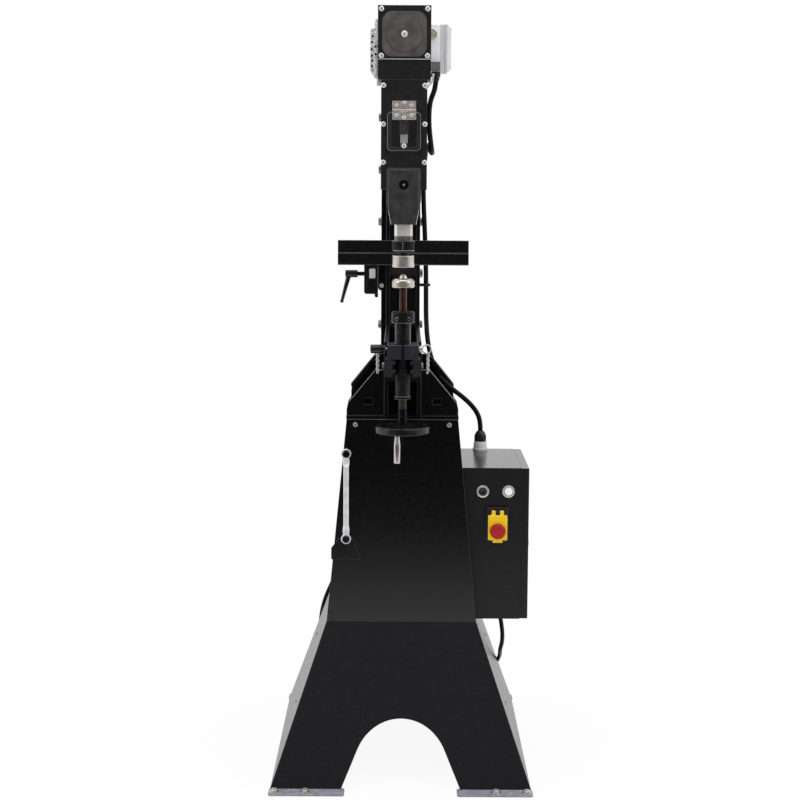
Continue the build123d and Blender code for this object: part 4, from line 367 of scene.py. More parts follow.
def islands(node):
    """The low corner, high corner and middle in mm of each of a CAD node's separate solids."""
    shape = merged(node)
    unseen = set(shape.verts)
    boxes = []
    while unseen:
        waiting = [unseen.pop()]
        low = waiting[0].co.copy()
        high = waiting[0].co.copy()
        while waiting:
            here = waiting.pop()
            low = Vector(map(min, low, here.co))
            high = Vector(map(max, high, here.co))
            for edge in here.link_edges:
                other = edge.other_vert(here)
                if other in unseen:
                    unseen.remove(other)
                    waiting.append(other)
        boxes.append((low / mm, high / mm, (low + high) / (2 * mm)))
    shape.free()
    boxes.sort(key=lambda box: (round(box[0].z), round(box[0].x), round(box[0].y)))
    return boxes


zinc = finish_of("zinc", (172, 178, 190), (214, 218, 226), (0.2, 0.36), metal=0.7, mottle=220, grain=0.1)
yellow_zinc = finish_of("yellow_zinc", (150, 142, 116), (204, 196, 170), (0.25, 0.42), metal=0.7, mottle=150)
hex_profile = ((0, 0), (1, 0), (1, 0.78), (0.86, 1), (0.66, 1), (0.62, 0.94), (0, 0.94))
hex_head = turned(hex_profile, 36, (1, 2))
washer_profile = ((0, 0), (0.98, 0), (1, 0.2), (1, 0.75), (0.95, 1), (0, 1))
washer_disc = turned(washer_profile, 40)
foot_head = 5.5
washer_height = 2.5
washer_spots = []
foot_spots = []
for low, high, middle in islands("foot_bolts"):
    if high.z - low.z > 2 * washer_height:
        foot_spots.append(((middle.x, middle.y, high.z - foot_head), (0, 0, 1)))
    else:
        washer_spots.append(((middle.x, middle.y, low.z), (0, 0, 1)))
set_heads(
    "foot_bolt_heads", hex_head, 7.5, foot_head, foot_spots, zinc, "yellow_zinc", 4, nodes=["foot_bolts"]
)
set_heads("foot_washers", washer_disc, 12, washer_height, washer_spots, yellow_zinc, "yellow_zinc")

# Stand: front and rear panels over sloping sides, closed by a top plate with welded gusset wings.
# Laser-cut steel sheet and plate, powder coated black; the rounded edges are painted light grey as
# highlights.
stand_coat = finish_of("stand_coat", (7, 7, 8), (10, 9, 10), (0.16, 0.22), mottle=90, grain=0.12)
cut_edge = finish_of("cut_edge", (84, 83, 85), (116, 115, 117), (0.28, 0.4), grain=0.1)
finished("stand_panels", "black_paint", stand_coat, coat_edge, 0.7)
top_plate = finished("top_plate", "black_paint", stand_coat, cut_edge, 1.2)
# The top plate's upper edges go without the painted highlight.
unhighlighted_top = box_mm("top_plate")[1].z - 3
repaint(top_plate, stand_coat, lambda face, at: at.z > unhighlighted_top)
gussets = finished("gusset_wings", "black_paint", stand_coat, cut_edge, 0.9)
wing_foot = 873
slot_x = 82
slot_z = 904
slot_reach = (12.5, 8.5)


def unhighlighted_wing(face, at):
    """Whether a wing's rounded edge goes without the painted highlight: at the foot and inside the slots."""
    across = abs(abs(at.x) - slot_x)
    return at.z < wing_foot or (across < slot_reach[0] and abs(at.z - slot_z) < slot_reach[1])


repaint(gussets, stand_coat, unhighlighted_wing)

# Gusset flanges folded back along the slanted edges, and the tongues of inner ribs that fill the slots.
# Cut from the same sheet, welded from inside and coated with the gussets; painted a flat black without sheen,
# which in the slots is painted shade.


def plate(name, near, far, paint, edge, rounding, body, slot):
    """A plate between two like outlines of points in mm, its edges rounded over."""
    shape = bmesh.new()
    skin(shape, (near, far), capped=True)
    return carry(rounded_over(mesh_of(name, shape), paint, edge, rounding), body, slot)


def cut_plate(name, outline, front, depth, paint, edge, rounding=0.6, body="frame", slot="black_paint"):
    """An upright plate cut to (x, z) points in mm, going back in Y from its front by its depth."""
    near = [(x, front, z) for x, z in outline]
    far = [(x, front + depth, z) for x, z in outline]
    return plate(name, near, far, paint, edge, rounding, body, slot)


def oblong(left, low, right, high):
    """The four corners of an upright rectangle."""
    return [(left, low), (right, low), (right, high), (left, high)]


# A flat black without sheen: the flanges' matt coat, and painted shade in the slots and inside the head
# housing.
matt_coat = finish_of("matt_coat", (8, 8, 9), (12, 11, 12), (0.6, 0.7), mottle=90, grain=0.2, gloss=0.0)
flange_face = 192
flange_depth = 46
flange_profiles = {
    "front": ((130.5, 900), (64.5, 980), (64.5, 976), (130.5, 896)),
    "rear": ((133.5, 903), (64.5, 989), (64.5, 976), (130.5, 896)),
}
tongue_face = 195
tongue_depth = 12
tongue_x = 10.8
tongue_z = 6.8
for side, left_right in ((-1, "left"), (1, "right")):
    middle_x = side * slot_x
    tongue = oblong(middle_x - tongue_x, slot_z - tongue_z, middle_x + tongue_x, slot_z + tongue_z)
    for end, front_rear in ((-1, "front"), (1, "rear")):
        flange = [(side * x, z) for x, z in flange_profiles[front_rear]]
        name = front_rear + "_flange_" + left_right
        cut_plate(name, flange, end * flange_face, -end * flange_depth, matt_coat, cut_edge, 0.7)
        name = front_rear + "_tongue_" + left_right
        cut_plate(name, tongue, end * tongue_face, -end * tongue_depth, matt_coat, cut_edge, 0.5)

# C-frame: two laser-cut plates with a deep throat, tubes and a rear web between them, a mast bar on the left.
# Ten millimetre steel plate, painted black; the rounded edges, the throat's among them, are painted blue-grey
# as highlights.
frame_coat = finish_of("frame_coat", (7, 7, 8), (12, 12, 14), (0.28, 0.4), mottle=60, grain=0.2, gloss=0.14)
throat_edge = finish_of("throat_edge", (34, 34, 42), (52, 52, 64), (0.25, 0.4), grain=0.1, gloss=0.3)
finished("frame_plates", "black_paint", frame_coat, throat_edge, 1.0)
finished("mast_bar", "black_paint", frame_coat, coat_edge, 1.0)
# The spacers are painted all over in the light grey of the edge highlights.
finished("frame_spacers", "black_paint", coat_edge, coat_edge, 0.5)
cut_plate("web_foot", oblong(-34, 870, 34, 878), 190, 149, frame_coat, coat_edge)
mast_foot = ((-57, 1025), (-44, 1025), (-44, 900), (-51, 900), (-57, 910))
cut_plate("mast_foot", mast_foot, 240, 50, frame_coat, coat_edge)

# Through bolts of the C-frame, with a head on the left and a nut on the right.
# Zinc-plated hexagon bolts over plated washers.
through_head = 8
bolt_spots = []
for low, high, middle in islands("frame_bolts"):
    bolt_spots.append(((low.x + through_head, middle.y, middle.z), (-1, 0, 0)))
    bolt_spots.append(((high.x - through_head, middle.y, middle.z), (1, 0, 0)))
dull_zinc = finish_of("dull_zinc", (122, 116, 108), (166, 159, 150), (0.28, 0.46), metal=0.95, mottle=170)
set_heads(
    "through_bolt_heads", hex_head, 10.97, through_head, bolt_spots, dull_zinc, "dark_steel", 7,
    nodes=["frame_bolts"],
)
set_heads("through_washers", washer_disc, 13, 1.6, bolt_spots, dull_zinc, "plated_steel")

# Head: a folded box round the ram's linkage, its flat front cover, and the crank case above.
# Four and three millimetre sheet in the same black coat, screwed together.
head_coat = finish_of("head_coat", (24, 22, 22), (30, 28, 28), (0.36, 0.48), mottle=70, grain=0.3, gloss=0.3)
head_housing = finished("head_housing", "black_paint", head_coat, coat_edge, 0.8)
inside_half = 48
# Faces within 48 mm of the middle, the housing's inside, are painted this flat black as shade.
repaint(head_housing, matt_coat, lambda face, at: abs(at.x) < inside_half)
finished("head_cover", "black_paint", head_coat, coat_edge, 0.6)
finished("drive_housing", "black_paint", head_coat, coat_edge, 0.6, join=False)

# Drive cover: a square plate with a raised field and a round boss turned with fine rings.
# Cast aluminium, the border painted black and the field left a worn brown-grey.


def turned_lines(material, centre, direction, pitch, depth, kind="RINGS"):
    """Adds lathe marks to a finish: rings round an axis through centre, or bands along it, pitch in mm."""
    tree = material.node_tree
    normal = tree.nodes["Principled BSDF"].inputs["Normal"]
    place = add_node(tree, "ShaderNodeTexCoord")["Object"]
    moved = add_node(tree, "ShaderNodeMapping", {"Vector": place, "Location": [-x * mm for x in centre]})[0]
    settings = {"wave_type": kind, kind.lower() + "_direction": direction}
    inputs = {"Vector": moved, "Scale": pi / (10 * pitch * mm), "Distortion": 0.6, "Detail": 1.0}
    wave = add_node(tree, "ShaderNodeTexWave", inputs, **settings)["Fac"]
    inputs = {"Strength": 0.5, "Distance": depth * mm, "Height": wave, "Normal": normal.links[0].from_socket}
    tree.links.new(add_node(tree, "ShaderNodeBump", inputs)[0], normal)


field_finish = finish_of("field_finish", (76, 72, 70), (94, 90, 88), (0.36, 0.5), metal=0.3, mottle=40)
field_edge = finish_of("field_edge", (50, 47, 46), (64, 61, 60), (0.36, 0.5), metal=0.3, mottle=60)
# Near-white: the bare cast rim under the drive cover, and elsewhere painted highlights.
bare_rim = finish_of("bare_rim", (200, 200, 203), (232, 232, 235), (0.3, 0.42), metal=0.1, mottle=40)
boss_middle = (0, 0, 1755)
turned_lines(field_finish, boss_middle, "Y", 4.5, 0.12)
turned_lines(field_finish, boss_middle, "Y", 0.9, 0.05)
drive_cover = finished("drive_cover", "black_paint", head_coat, field_edge, 0.9)
cover_low = box_mm("drive_cover")[0]
field_back = cover_low.y + 4.5
plate_foot = cover_low.z + 2
repaint(drive_cover, field_finish, lambda face, at: at.y < field_back and face.material_index == 0)
repaint(drive_cover, bare_rim, lambda face, at: at.z < plate_foot)

# Cover screws of the head, the crank case and the stand, with a washer under the middle one.
# Button-head machine screws with hexagon sockets: bright plated at the head, yellow zinc on the stand.
plated = finish_of("plated", (206, 205, 204), (234, 233, 232), (0.16, 0.28), metal=0.62, mottle=260)
dull_brass = finish_of("dull_brass", (138, 132, 122), (186, 181, 172), (0.25, 0.4), metal=0.7, mottle=300)
forward = (0, -1, 0)
screw_head = 3.4
stand_top = 1000
bright_spots = []
stand_spots = []
for low, high, middle in islands("cover_screws"):
    spots = stand_spots if middle.z < stand_top else bright_spots
    if middle.z < stand_top and middle.y > 0:
        spots.append(((middle.x, high.y - screw_head, middle.z), (0, 1, 0)))
    else:
        spots.append(((middle.x, low.y + screw_head, middle.z), forward))
for name, spots, finish, slot, seed, nodes in (
    ("cover_screw_heads", bright_spots, plated, "plated_steel", 3, ["cover_screws"]),
    ("stand_screw_heads", stand_spots, dull_brass, "yellow_zinc", 5, []),
):
    set_heads(name, button_head, 6.2, screw_head, spots, finish, slot, seed, nodes=nodes)


def front_spots(front, *places):
    """Spots at (x, z) places in mm on a front plane, facing the operator."""
    return [((x, front, z), forward) for x, z in places]


boss_spot = front_spots(cover_low.y, (0, boss_middle[2]))
set_heads("boss_washer", washer_disc, 7.8, 1.2, boss_spot, plated, "plated_steel")

# Earth tag: a bent strip from the crank case to the cover's top right screw.
# Tinned copper, held under the screw's head.
tag_outline = ((47, 1634), (61.6, 1652), (64, 1668), (68.5, 1667), (66, 1650), (51, 1632))
cut_plate("earth_tag", tag_outline, -316.6, 1.2, plated, plated, 0.4, slot="plated_steel")

# Motor: finned barrel on a round flange, with a pressed fan cover behind.
# Sand-cast aluminium, left rough and thinly painted; the shaft, bearings and fan are inside.
cast_metal = finish_of(
    "cast_metal", (132, 130, 130), (172, 170, 170), (0.4, 0.62), metal=0.75, mottle=130, grain=0.8, fine=500
)
cast_edge = finish_of("cast_edge", (170, 168, 166), (212, 210, 208), (0.3, 0.45), metal=0.85, mottle=160)
pressed_grey = finish_of("pressed_grey", (86, 86, 90), (102, 102, 106), (0.35, 0.5), metal=0.3, grain=0.3)
steel = finish_of(
    "steel", (190, 187, 184), (224, 221, 217), (0.16, 0.28), metal=1, mottle=90, grain=0.1,
    stretch=(1, 1, 0.06),
)
oiled_steel = finish_of("oiled_steel", (52, 49, 47), (86, 82, 78), (0.25, 0.42), metal=0.9, mottle=80)
moulded_black = finish_of("moulded_black", (17, 17, 18), (27, 27, 28), (0.34, 0.5), mottle=60, grain=0.3)
finished("motor_body", "motor_grey", cast_metal, cast_edge, 0.4)
motor_z = 1735
shield_neck = 59
shield_front = -62
rib_rise = 3
neck_steps = 8
shield_outline = [
    (-44, 1812), (-69, 1812), (-71, 1806), (-72, 1790), (-80, 1788), (-82, 1784), (-82, 1690), (-78, 1682),
    (-66, 1669), (-66, 1654), (-44, 1654),
]
for step in range(neck_steps + 1):
    angle = radians(225 - 90 * step / neck_steps)
    shield_outline.append((shield_neck * cos(angle), motor_z + shield_neck * sin(angle)))
raw_casting = finish_of(
    "raw_casting", (118, 116, 116), (250, 248, 248), (0.4, 0.6), metal=0.15, mottle=330, grain=0.8, fine=500
)
# The shield's and rib's rounded edges are painted near-white as highlights.
cut_plate("motor_end_shield", shield_outline, shield_front, 24, raw_casting, bare_rim, 0.9, slot="motor_grey")
rib_outline = ((-71.6, 1802), (-66, 1802), (-66, 1676), (-71.6, 1682))
rib_front = shield_front - rib_rise
cut_plate("motor_side_rib", rib_outline, rib_front, 3.2, raw_casting, bare_rim, 0.9, slot="motor_grey")
shield_places = ((-78, 1725), (-77, 1713), (-79, 1739), (-76, 1771), (-78, 1700), (-78, 1757))
shield_spots = front_spots(shield_front, *shield_places) + front_spots(rib_front, (-69, 1746), (-69, 1728))
set_heads("shield_screws", button_head, 2.8, 1.0, shield_spots, dark_screw, "dark_steel", 11)
finished("fan_cover", "motor_grey", pressed_grey, coat_edge, 0.4)
finished("shaft_bearings", "bright_steel", steel, steel, 0.4)
finished("crank_shaft", "dark_steel", oiled_steel, steel, 0.6)
finished("motor_fan", "black_plastic", moulded_black, moulded_black, 0.4)

# Terminal box on the motor's right, with a chamfered lid held by four screws and a brass blanking plug.
# Die-cast aluminium in pale lavender-grey enamel; the lid is painted a darker grey of it as shade.


def repaint_past(piece, finish, place, facing):
    """Cuts a piece's faces along a plane through a place in mm and gives a finish to those past it."""
    shape = bmesh.new()
    shape.from_mesh(piece.data)
    everything = shape.verts[:] + shape.edges[:] + shape.faces[:]
    bmesh.ops.bisect_plane(shape, geom=everything, plane_co=Vector(place) * mm, plane_no=facing)
    shape.to_mesh(piece.data)
    shape.free()
    repaint(piece, finish, lambda face, at: (at - Vector(place)).dot(facing) > 0)


enamel = finish_of("enamel", (240, 239, 246), (248, 247, 253), (0.3, 0.42), mottle=20, grain=0.12)
enamel_edge = finish_of("enamel_edge", (226, 225, 231), (240, 239, 245), (0.28, 0.4), mottle=30)
lid_enamel = finish_of("lid_enamel", (200, 200, 202), (212, 212, 214), (0.32, 0.45), mottle=20, grain=0.12)
terminal_box = finished("terminal_box", "box_grey", enamel, enamel_edge, 0.8)
repaint_past(terminal_box, lid_enamel, (84, 0, 0), (1, 0, 0))
lid_low, lid_high = box_mm("terminal_box")[:2]
lid_inset = 11
lid_sink = 1.4
lid_spots = []
for y in (lid_low.y + lid_inset, lid_high.y - lid_inset):
    for z in (lid_low.z + lid_inset, lid_high.z - lid_inset):
        lid_spots.append(((lid_high.x - lid_sink, y, z), (1, 0, 0)))
set_heads("lid_screws", button_head, 4, 2.2, lid_spots, plated, "plated_steel", 6)
brass = finish_of("brass", (140, 112, 66), (190, 164, 112), (0.22, 0.38), metal=0.8, mottle=200)
fitting_metal = finish_of(
    "fitting_metal", (128, 114, 90), (232, 226, 212), (0.25, 0.4), metal=0.3, mottle=330
)
blanking_spot = front_spots(lid_low.y + 1, (65, 1768))
set_heads("blanking_plug", hex_head, 13.5, 9, blanking_spot, fitting_metal, "yellow_zinc", 2)

# Ram guide under the head, with a brass grease nipple in its front lip.
# Iron casting, fettled and painted thick charcoal grey; the lower corners are painted near-white as
# highlights and the nipple's hole near-black as shade.


def piece_of(name, mesh, finish):
    """An object of a finished mesh in one finish."""
    mesh.materials.append(finish)
    return link_in(name, mesh)


def turned_piece(
    name, profile, place, facing, finish, body, slot, *nodes, steps=48, hexes=(), closed=False
):
    """A turned piece on its body, its foot at a place in mm and its axis along facing."""
    mesh = turned(profile, steps, hexes, closed)
    turn = Vector((0, 0, 1)).rotation_difference(Vector(facing))
    mesh.transform(Matrix.Translation(Vector(place) * mm) @ turn.to_matrix().to_4x4())
    return carry(piece_of(name, mesh, finish), body, slot, *nodes)


charcoal = finish_of(
    "charcoal", (36, 35, 36), (51, 50, 51), (0.5, 0.66), mottle=50, grain=0.8, fine=650, gloss=0.3
)
charcoal_edge = finish_of("charcoal_edge", (54, 53, 53), (76, 75, 74), (0.4, 0.55), mottle=90, grain=0.3)
hole_black = finish_of("hole_black", (5, 5, 5), (9, 9, 9), (0.5, 0.6), mottle=90, gloss=0.14)
ram_guide = finished("ram_guide", "casting_paint", charcoal, charcoal_edge, 0.7, join=False)
nipple_height = 1417
hole_radius = 11.4
highlight_top = 1368
highlight_side = 24


def in_hole(face, at):
    """Whether all corners of a face of the ram guide lie in the nipple's hole."""
    corners = [ram_guide.data.vertices[corner].co / mm for corner in face.vertices]
    return max(hypot(corner.x, corner.z - nipple_height) for corner in corners) < hole_radius


def highlighted_corner(face, at):
    """Whether a rounded edge of the ram guide is one of those painted as a highlight."""
    return face.material_index == 1 and at.z < highlight_top and abs(at.x) > highlight_side


repaint(ram_guide, hole_black, in_hole)
repaint(ram_guide, bare_rim, highlighted_corner)
nipple_profile = (
    (0, 0), (3, 0), (3, 2), (2.7, 2.4), (1.6, 3), (1.3, 4.2), (1.8, 5), (2, 5.8), (1.5, 6.7), (0.5, 7),
    (0.4, 6), (0, 5.8),
)
nipple_place = (0, box_mm("ram_guide")[0].y + 5, nipple_height)
turned_piece(
    "grease_nipple", nipple_profile, nipple_place, forward, brass, "frame", "yellow_zinc",
    steps=24, hexes=(1, 2),
)

# Ram: a chamfered square bar with a turned neck, joined to its rod by a pin.
# Ground tool steel, left unground at its lower end; the rod above it is painted red-brown.
rod_paint = finish_of("rod_paint", (84, 46, 38), (112, 66, 54), (0.34, 0.5), mottle=50, grain=0.3)
ground_steel = finish_of(
    "ground_steel", (190, 187, 184), (240, 237, 233), (0.14, 0.26), metal=0.45, mottle=60,
    stretch=(1, 1, 0.05),
)
ram = finished("ram", "bright_steel", ground_steel, ground_steel, 0.6, join=False)
unground_steel = finish_of(
    "unground_steel", (96, 91, 87), (132, 126, 120), (0.28, 0.4), metal=0.4, mottle=90, stretch=(1, 1, 0.2)
)
repaint_past(ram, unground_steel, (0, 0, 1300), (0, 0, -1))
finished("connecting_rod", "dark_steel", rod_paint, rod_paint, 0.8)
finished("wrist_pin", "bright_steel", oiled_steel, oiled_steel, 0.5)
rib_depth = 1.2


def ribbed_block(name, across, depth, heights, ribs, finish, body, slot):
    """A block between two sets of mm marks, its front cut into upright ribs."""
    step = (across[1] - across[0]) / (2 * ribs)
    outline = [(across[1], depth[1]), (across[0], depth[1])]
    for number in range(2 * ribs + 1):
        outline.append((across[0] + step * number, depth[0] + (rib_depth if number % 2 else 0)))
    near, far = [[(x, y, z) for x, y in outline] for z in heights]
    return plate(name, near, far, finish, finish, 0.3, body, slot)


# The rod block is painted near-white, standing for its bright silver reflections.
ribbed_block("rod_block", (-8.5, 8.5), (-306, -296), (1511, 1531), 4, bare_rim, "ram_group", "bright_steel")

# Upper die in its holder: a flat-faced disc held by a shank in a split socket.
# Blackened steel socket, its rounded edges painted bright as rubbed steel and as highlights; turned and
# polished tool-steel die.
die_middle = (0, -275, 1227)


def from_axis(at):
    """Distance in mm from the upright axis of the dies and the lift."""
    return hypot(at.x, at.y - die_middle[1])


black_oxide = finish_of(
    "black_oxide", (27, 26, 27), (42, 41, 42), (0.3, 0.45), metal=0.5, mottle=110, grain=0.3
)
socket_black = finish_of(
    "socket_black", (17, 16, 17), (28, 27, 28), (0.3, 0.42), metal=0.2, mottle=110, grain=0.3, gloss=0.14
)
rubbed_edge = finish_of("rubbed_edge", (120, 119, 120), (180, 179, 180), (0.25, 0.4), metal=0.5, mottle=160)
die_steel = finish_of("die_steel", (194, 187, 179), (212, 206, 198), (0.14, 0.25), metal=0.85, mottle=60)
turned_lines(die_steel, die_middle, "Z", 1.1, 0.03)
turned_lines(die_steel, die_middle, "Z", 1.3, 0.02, "BANDS")
finished("upper_die_holder", "dark_steel", socket_black, rubbed_edge, 0.8, 20)
upper_die = finished("upper_die", "bright_steel", die_steel, die_steel, 0.5)
upper_disc_top = 1254.6
stem_radius = 15
repaint(upper_die, black_oxide, lambda face, at: at.z > upper_disc_top and from_axis(at) < stem_radius)

# Lower die: a crowned button on a shouldered disc, its long shank set in a swivelling socket.
# Polished tool steel above, the shank left brown from heat treatment; two set screws lock it.
shank_brown = finish_of("shank_brown", (48, 33, 27), (74, 52, 42), (0.3, 0.45), metal=0.8, mottle=70)
lower_die = finished("lower_die", "bright_steel", die_steel, die_steel, 0.4)
shank_radius = 9
disc_bottom = 1180
repaint(lower_die, shank_brown, lambda face, at: from_axis(at) < shank_radius and at.z < disc_bottom)
finished("lower_die_holder", "dark_steel", socket_black, rubbed_edge, 0.9, 20)
holder_low = box_mm("lower_die_holder")[0]
screw_z = holder_low.z + 10
screw_spots = front_spots(holder_low.y + 0.4, (-14, screw_z), (14, screw_z))
set_heads("set_screws", button_head, 3, 1.2, screw_spots, dark_screw, "dark_steel", 8, "anvil")

# Lift spindle: a threaded barrel with a pivot on top, which raises and lowers the lower die.
# Blackened steel with a single-start thread, cut in the lathe and oiled.
spindle_low, spindle_high = box_mm("lift_spindle")[:2]
thread_pitch = 5
thread_depth = 1.9
barrel_radius = 18.5
barrel_high = 1098.7
pivot_radius = 11
thread_steps = 48
rows_per_turn = 10
flank_slope = 4
crest_width = 0.7
barrel_length = barrel_high - spindle_low.z
barrel_rows = int(barrel_length / thread_pitch * rows_per_turn)
levels = [(spindle_low.z + barrel_length * row / barrel_rows, True) for row in range(barrel_rows + 1)]
levels += [(barrel_high, False), (spindle_high.z, False)]
thread_rows = [[(0, die_middle[1], spindle_low.z)]]
for height, threaded in levels:
    row = []
    for step in range(thread_steps):
        angle = 2 * pi * step / thread_steps
        phase = (height / thread_pitch - step / thread_steps) % 1
        groove = thread_depth * min(1, max(0, flank_slope * abs(phase - 0.5) - crest_width))
        reach = barrel_radius - groove if threaded else pivot_radius
        row.append((reach * cos(angle), die_middle[1] + reach * sin(angle), height))
    thread_rows.append(row)
thread_rows.append([(0, die_middle[1], spindle_high.z)])
thread = bmesh.new()
skin(thread, thread_rows)
thread_steel = finish_of("thread_steel", (44, 44, 46), (64, 64, 66), (0.18, 0.28), metal=0.95, mottle=60)
lift_thread = piece_of("lift_thread", mesh_of("lift_thread", thread, 50), thread_steel)
carry(lift_thread, "screw", "bright_steel", "lift_spindle")

# Drive coupling: collar, short shaft and pinned sleeve between the spindle and the handwheel.
# Turned steel: blackened collar, red-brown primed shaft and a blued sleeve; the collar's rounded edges are
# painted bright as rubbed steel and as highlights.
shaft_red = finish_of("shaft_red", (34, 21, 19), (50, 31, 27), (0.35, 0.5), metal=0.3, mottle=80)
blued = finish_of("blued", (16, 18, 26), (32, 36, 50), (0.22, 0.36), metal=0.85, mottle=90)
coupling = finished("drive_coupling", "dark_steel", socket_black, rubbed_edge, 0.6)
sleeve_top = 896.5
collar_low = 919
repaint(coupling, shaft_red, lambda face, at: at.z < collar_low)
repaint(coupling, blued, lambda face, at: at.z < sleeve_top)

# Handwheel: turned rim, drilled web and hub, pinned on the coupling.
# Cast iron, turned all over and left dark, with the rim's corners polished by hands; the web and hub inside
# the rim are painted near-black as shade.
wheel_iron = finish_of("wheel_iron", (52, 52, 53), (70, 70, 71), (0.16, 0.26), metal=0.9, mottle=60)
wheel_rim = finish_of("wheel_rim", (140, 140, 141), (186, 186, 187), (0.2, 0.32), metal=0.95, mottle=90)
turned_lines(wheel_iron, die_middle, "Z", 1.6, 0.08, "BANDS")
turned_lines(wheel_iron, die_middle, "Z", 1.2, 0.05)
handwheel = finished("handwheel", "bright_steel", wheel_iron, wheel_rim, 0.7)
rim_inside = 57
repaint(handwheel, socket_black, lambda face, at: from_axis(at) < rim_inside)

# Handle of the handwheel: a tapered grip with a narrow neck, spinning on a stud.
# Turned from bright bar and polished, closed by a rounded end with a small centre.
grip_low, grip_high, grip_middle = box_mm("wheel_handle")
grip_length = grip_high.z - grip_low.z
grip_profile = (
    (0, 0.5), (1.2, 0), (5.2, 0), (6.6, 0.5), (7.4, 1.6), (7.7, 3), (7.7, 40), (7.5, 47), (6.6, 53),
    (5.8, 58), (5.6, grip_length - 3), (6.4, grip_length - 2), (6.4, grip_length), (0, grip_length),
)
grip_polish = finish_of(
    "grip_polish", (186, 182, 180), (214, 210, 208), (0.12, 0.2), metal=0.9, mottle=200, stretch=(1, 1, 4)
)
grip_place = (grip_middle.x, grip_middle.y, grip_low.z)
turned_piece(
    "handle_grip", grip_profile, grip_place, (0, 0, 1), grip_polish, "handle", "plated_steel", "wheel_handle"
)

# Clamp block: split block round the spindle with two guide cheeks below, bolted to the lower arm.
# Steel block in dull purple-grey paint; its rounded top edges are painted light lavender-grey as highlights.
purple_coat = finish_of(
    "purple_coat", (31, 29, 34), (42, 39, 46), (0.36, 0.5), mottle=40, grain=0.3, gloss=0.14
)
purple_edge = finish_of("purple_edge", (70, 68, 78), (98, 95, 106), (0.3, 0.4), metal=0.3, mottle=80)
clamp_block = finished("clamp_block", "purple_paint", purple_coat, purple_edge, 0.9)
highlight_low = box_mm("clamp_block")[1].z - 2
repaint(clamp_block, purple_coat, lambda face, at: at.z < highlight_low)

# Lock pins: the left one has a long round knob, the right one a pull ring.
# Turned steel pins; the knob is glossy black phenolic and the ring spring wire.
phenolic = finish_of("phenolic", (14, 14, 15), (22, 22, 24), (0.1, 0.18), mottle=30)
ring_steel = finish_of("ring_steel", (196, 192, 188), (232, 228, 224), (0.14, 0.24), metal=0.6, mottle=180)
pin_low, pin_high, pin_middle = box_mm("lock_pin_left")
knob_length = 36
shank_length = pin_high.x - pin_low.x - knob_length
knob_profile = (
    (0, 0), (7.4, 0), (9.6, 0.8), (10.4, 2.4), (10.4, 26), (10, 28), (8.2, 30), (8.2, 33), (9, 34),
    (9, knob_length), (0, knob_length),
)
knob_place = (pin_low.x, pin_middle.y, pin_middle.z)
turned_piece(
    "lock_knob", knob_profile, knob_place, (1, 0, 0), phenolic, "pin_left", "black_knob", "lock_pin_left"
)
shank_profile = ((0, 0), (4, 0), (4, shank_length - 1), (3, shank_length), (0, shank_length))
shank_place = (pin_low.x + knob_length, pin_middle.y, pin_middle.z)
turned_piece(
    "lock_pin_shank", shank_profile, shank_place, (1, 0, 0), steel, "pin_left", "bright_steel", steps=32
)
finished("lock_pin_right", "plated_steel", ring_steel, ring_steel, 0.4)

# Link chains: short bright chains from screw eyes on the gussets, keeping the lock pins by the block.
# Oval links of plated wire, each a quarter turn from the last.


def chain_tree():
    """Node tree that hangs oval links along a line, every second one turned by a quarter."""
    given = {"Line": "Geometry", "Pitch": "Float", "Link Length": "Float", "Link Width": "Float"}
    given.update({"Wire Radius": "Float", "Finish": "Material"})
    tree, ask = open_tree("links_on_line", given, "Chain")
    line = add_node(tree, "GeometryNodeMeshToCurve", {0: ask["Line"]})[0]
    inputs = {"Curve": line, "Length": ask["Pitch"]}
    spots = add_node(tree, "GeometryNodeCurveToPoints", inputs, mode="LENGTH")
    along = add_node(tree, "FunctionNodeAlignRotationToVector", {"Vector": spots["Tangent"]}, axis="X")[0]
    number = add_node(tree, "GeometryNodeInputIndex")[0]
    quarter = add_node(tree, "ShaderNodeMath", {0: number, 1: pi / 2}, operation="MULTIPLY")[0]
    loop = add_node(tree, "GeometryNodeCurvePrimitiveCircle", {"Resolution": 20, "Radius": 0.5})[0]
    size = add_node(tree, "ShaderNodeCombineXYZ", {0: ask["Link Length"], 1: ask["Link Width"], 2: 1.0})[0]
    oval = add_node(tree, "GeometryNodeTransform", {"Geometry": loop, "Scale": size})[0]
    inputs = {"Resolution": 8, "Radius": ask["Wire Radius"]}
    wire = add_node(tree, "GeometryNodeCurvePrimitiveCircle", inputs)[0]
    link = add_node(tree, "GeometryNodeCurveToMesh", {"Curve": oval, "Profile Curve": wire})[0]
    inputs = {"Points": spots["Points"], "Instance": link}
    inputs["Rotation"] = rolled(tree, along, (1, 0, 0), quarter)
    return close_tree(tree, inputs, ask["Finish"])


chain_x = box_mm("link_chains")[1].x - 5.3
chain_rise = Vector((0, -0.6, 0.8)) * 53.1
chain_foot = 976
chain_ends = []
for side in (-1, 1):
    foot = Vector((side * chain_x, -207.2, chain_foot))
    chain_ends += [foot * mm, (foot + chain_rise) * mm]
chain_mesh = bpy.data.meshes.new("chain_lines")
chain_mesh.from_pydata(chain_ends, [(0, 1), (2, 3)], [])
chain_inputs = {"Pitch": 7.2 * mm, "Link Length": 10.4 * mm, "Link Width": 8.0 * mm, "Wire Radius": 1.35 * mm}
chain_inputs["Finish"] = ring_steel
chains = grown("chain_links", chain_mesh, chain_tree(), chain_inputs)
chains.data.shade_smooth()
carry(chains, "frame", "plated_steel", "link_chains")
eye_spots = front_spots(-200, (-chain_x, chain_foot), (chain_x, chain_foot))
set_heads("chain_eyes", washer_disc, 2.4, 4, eye_spots, ring_steel, "plated_steel")

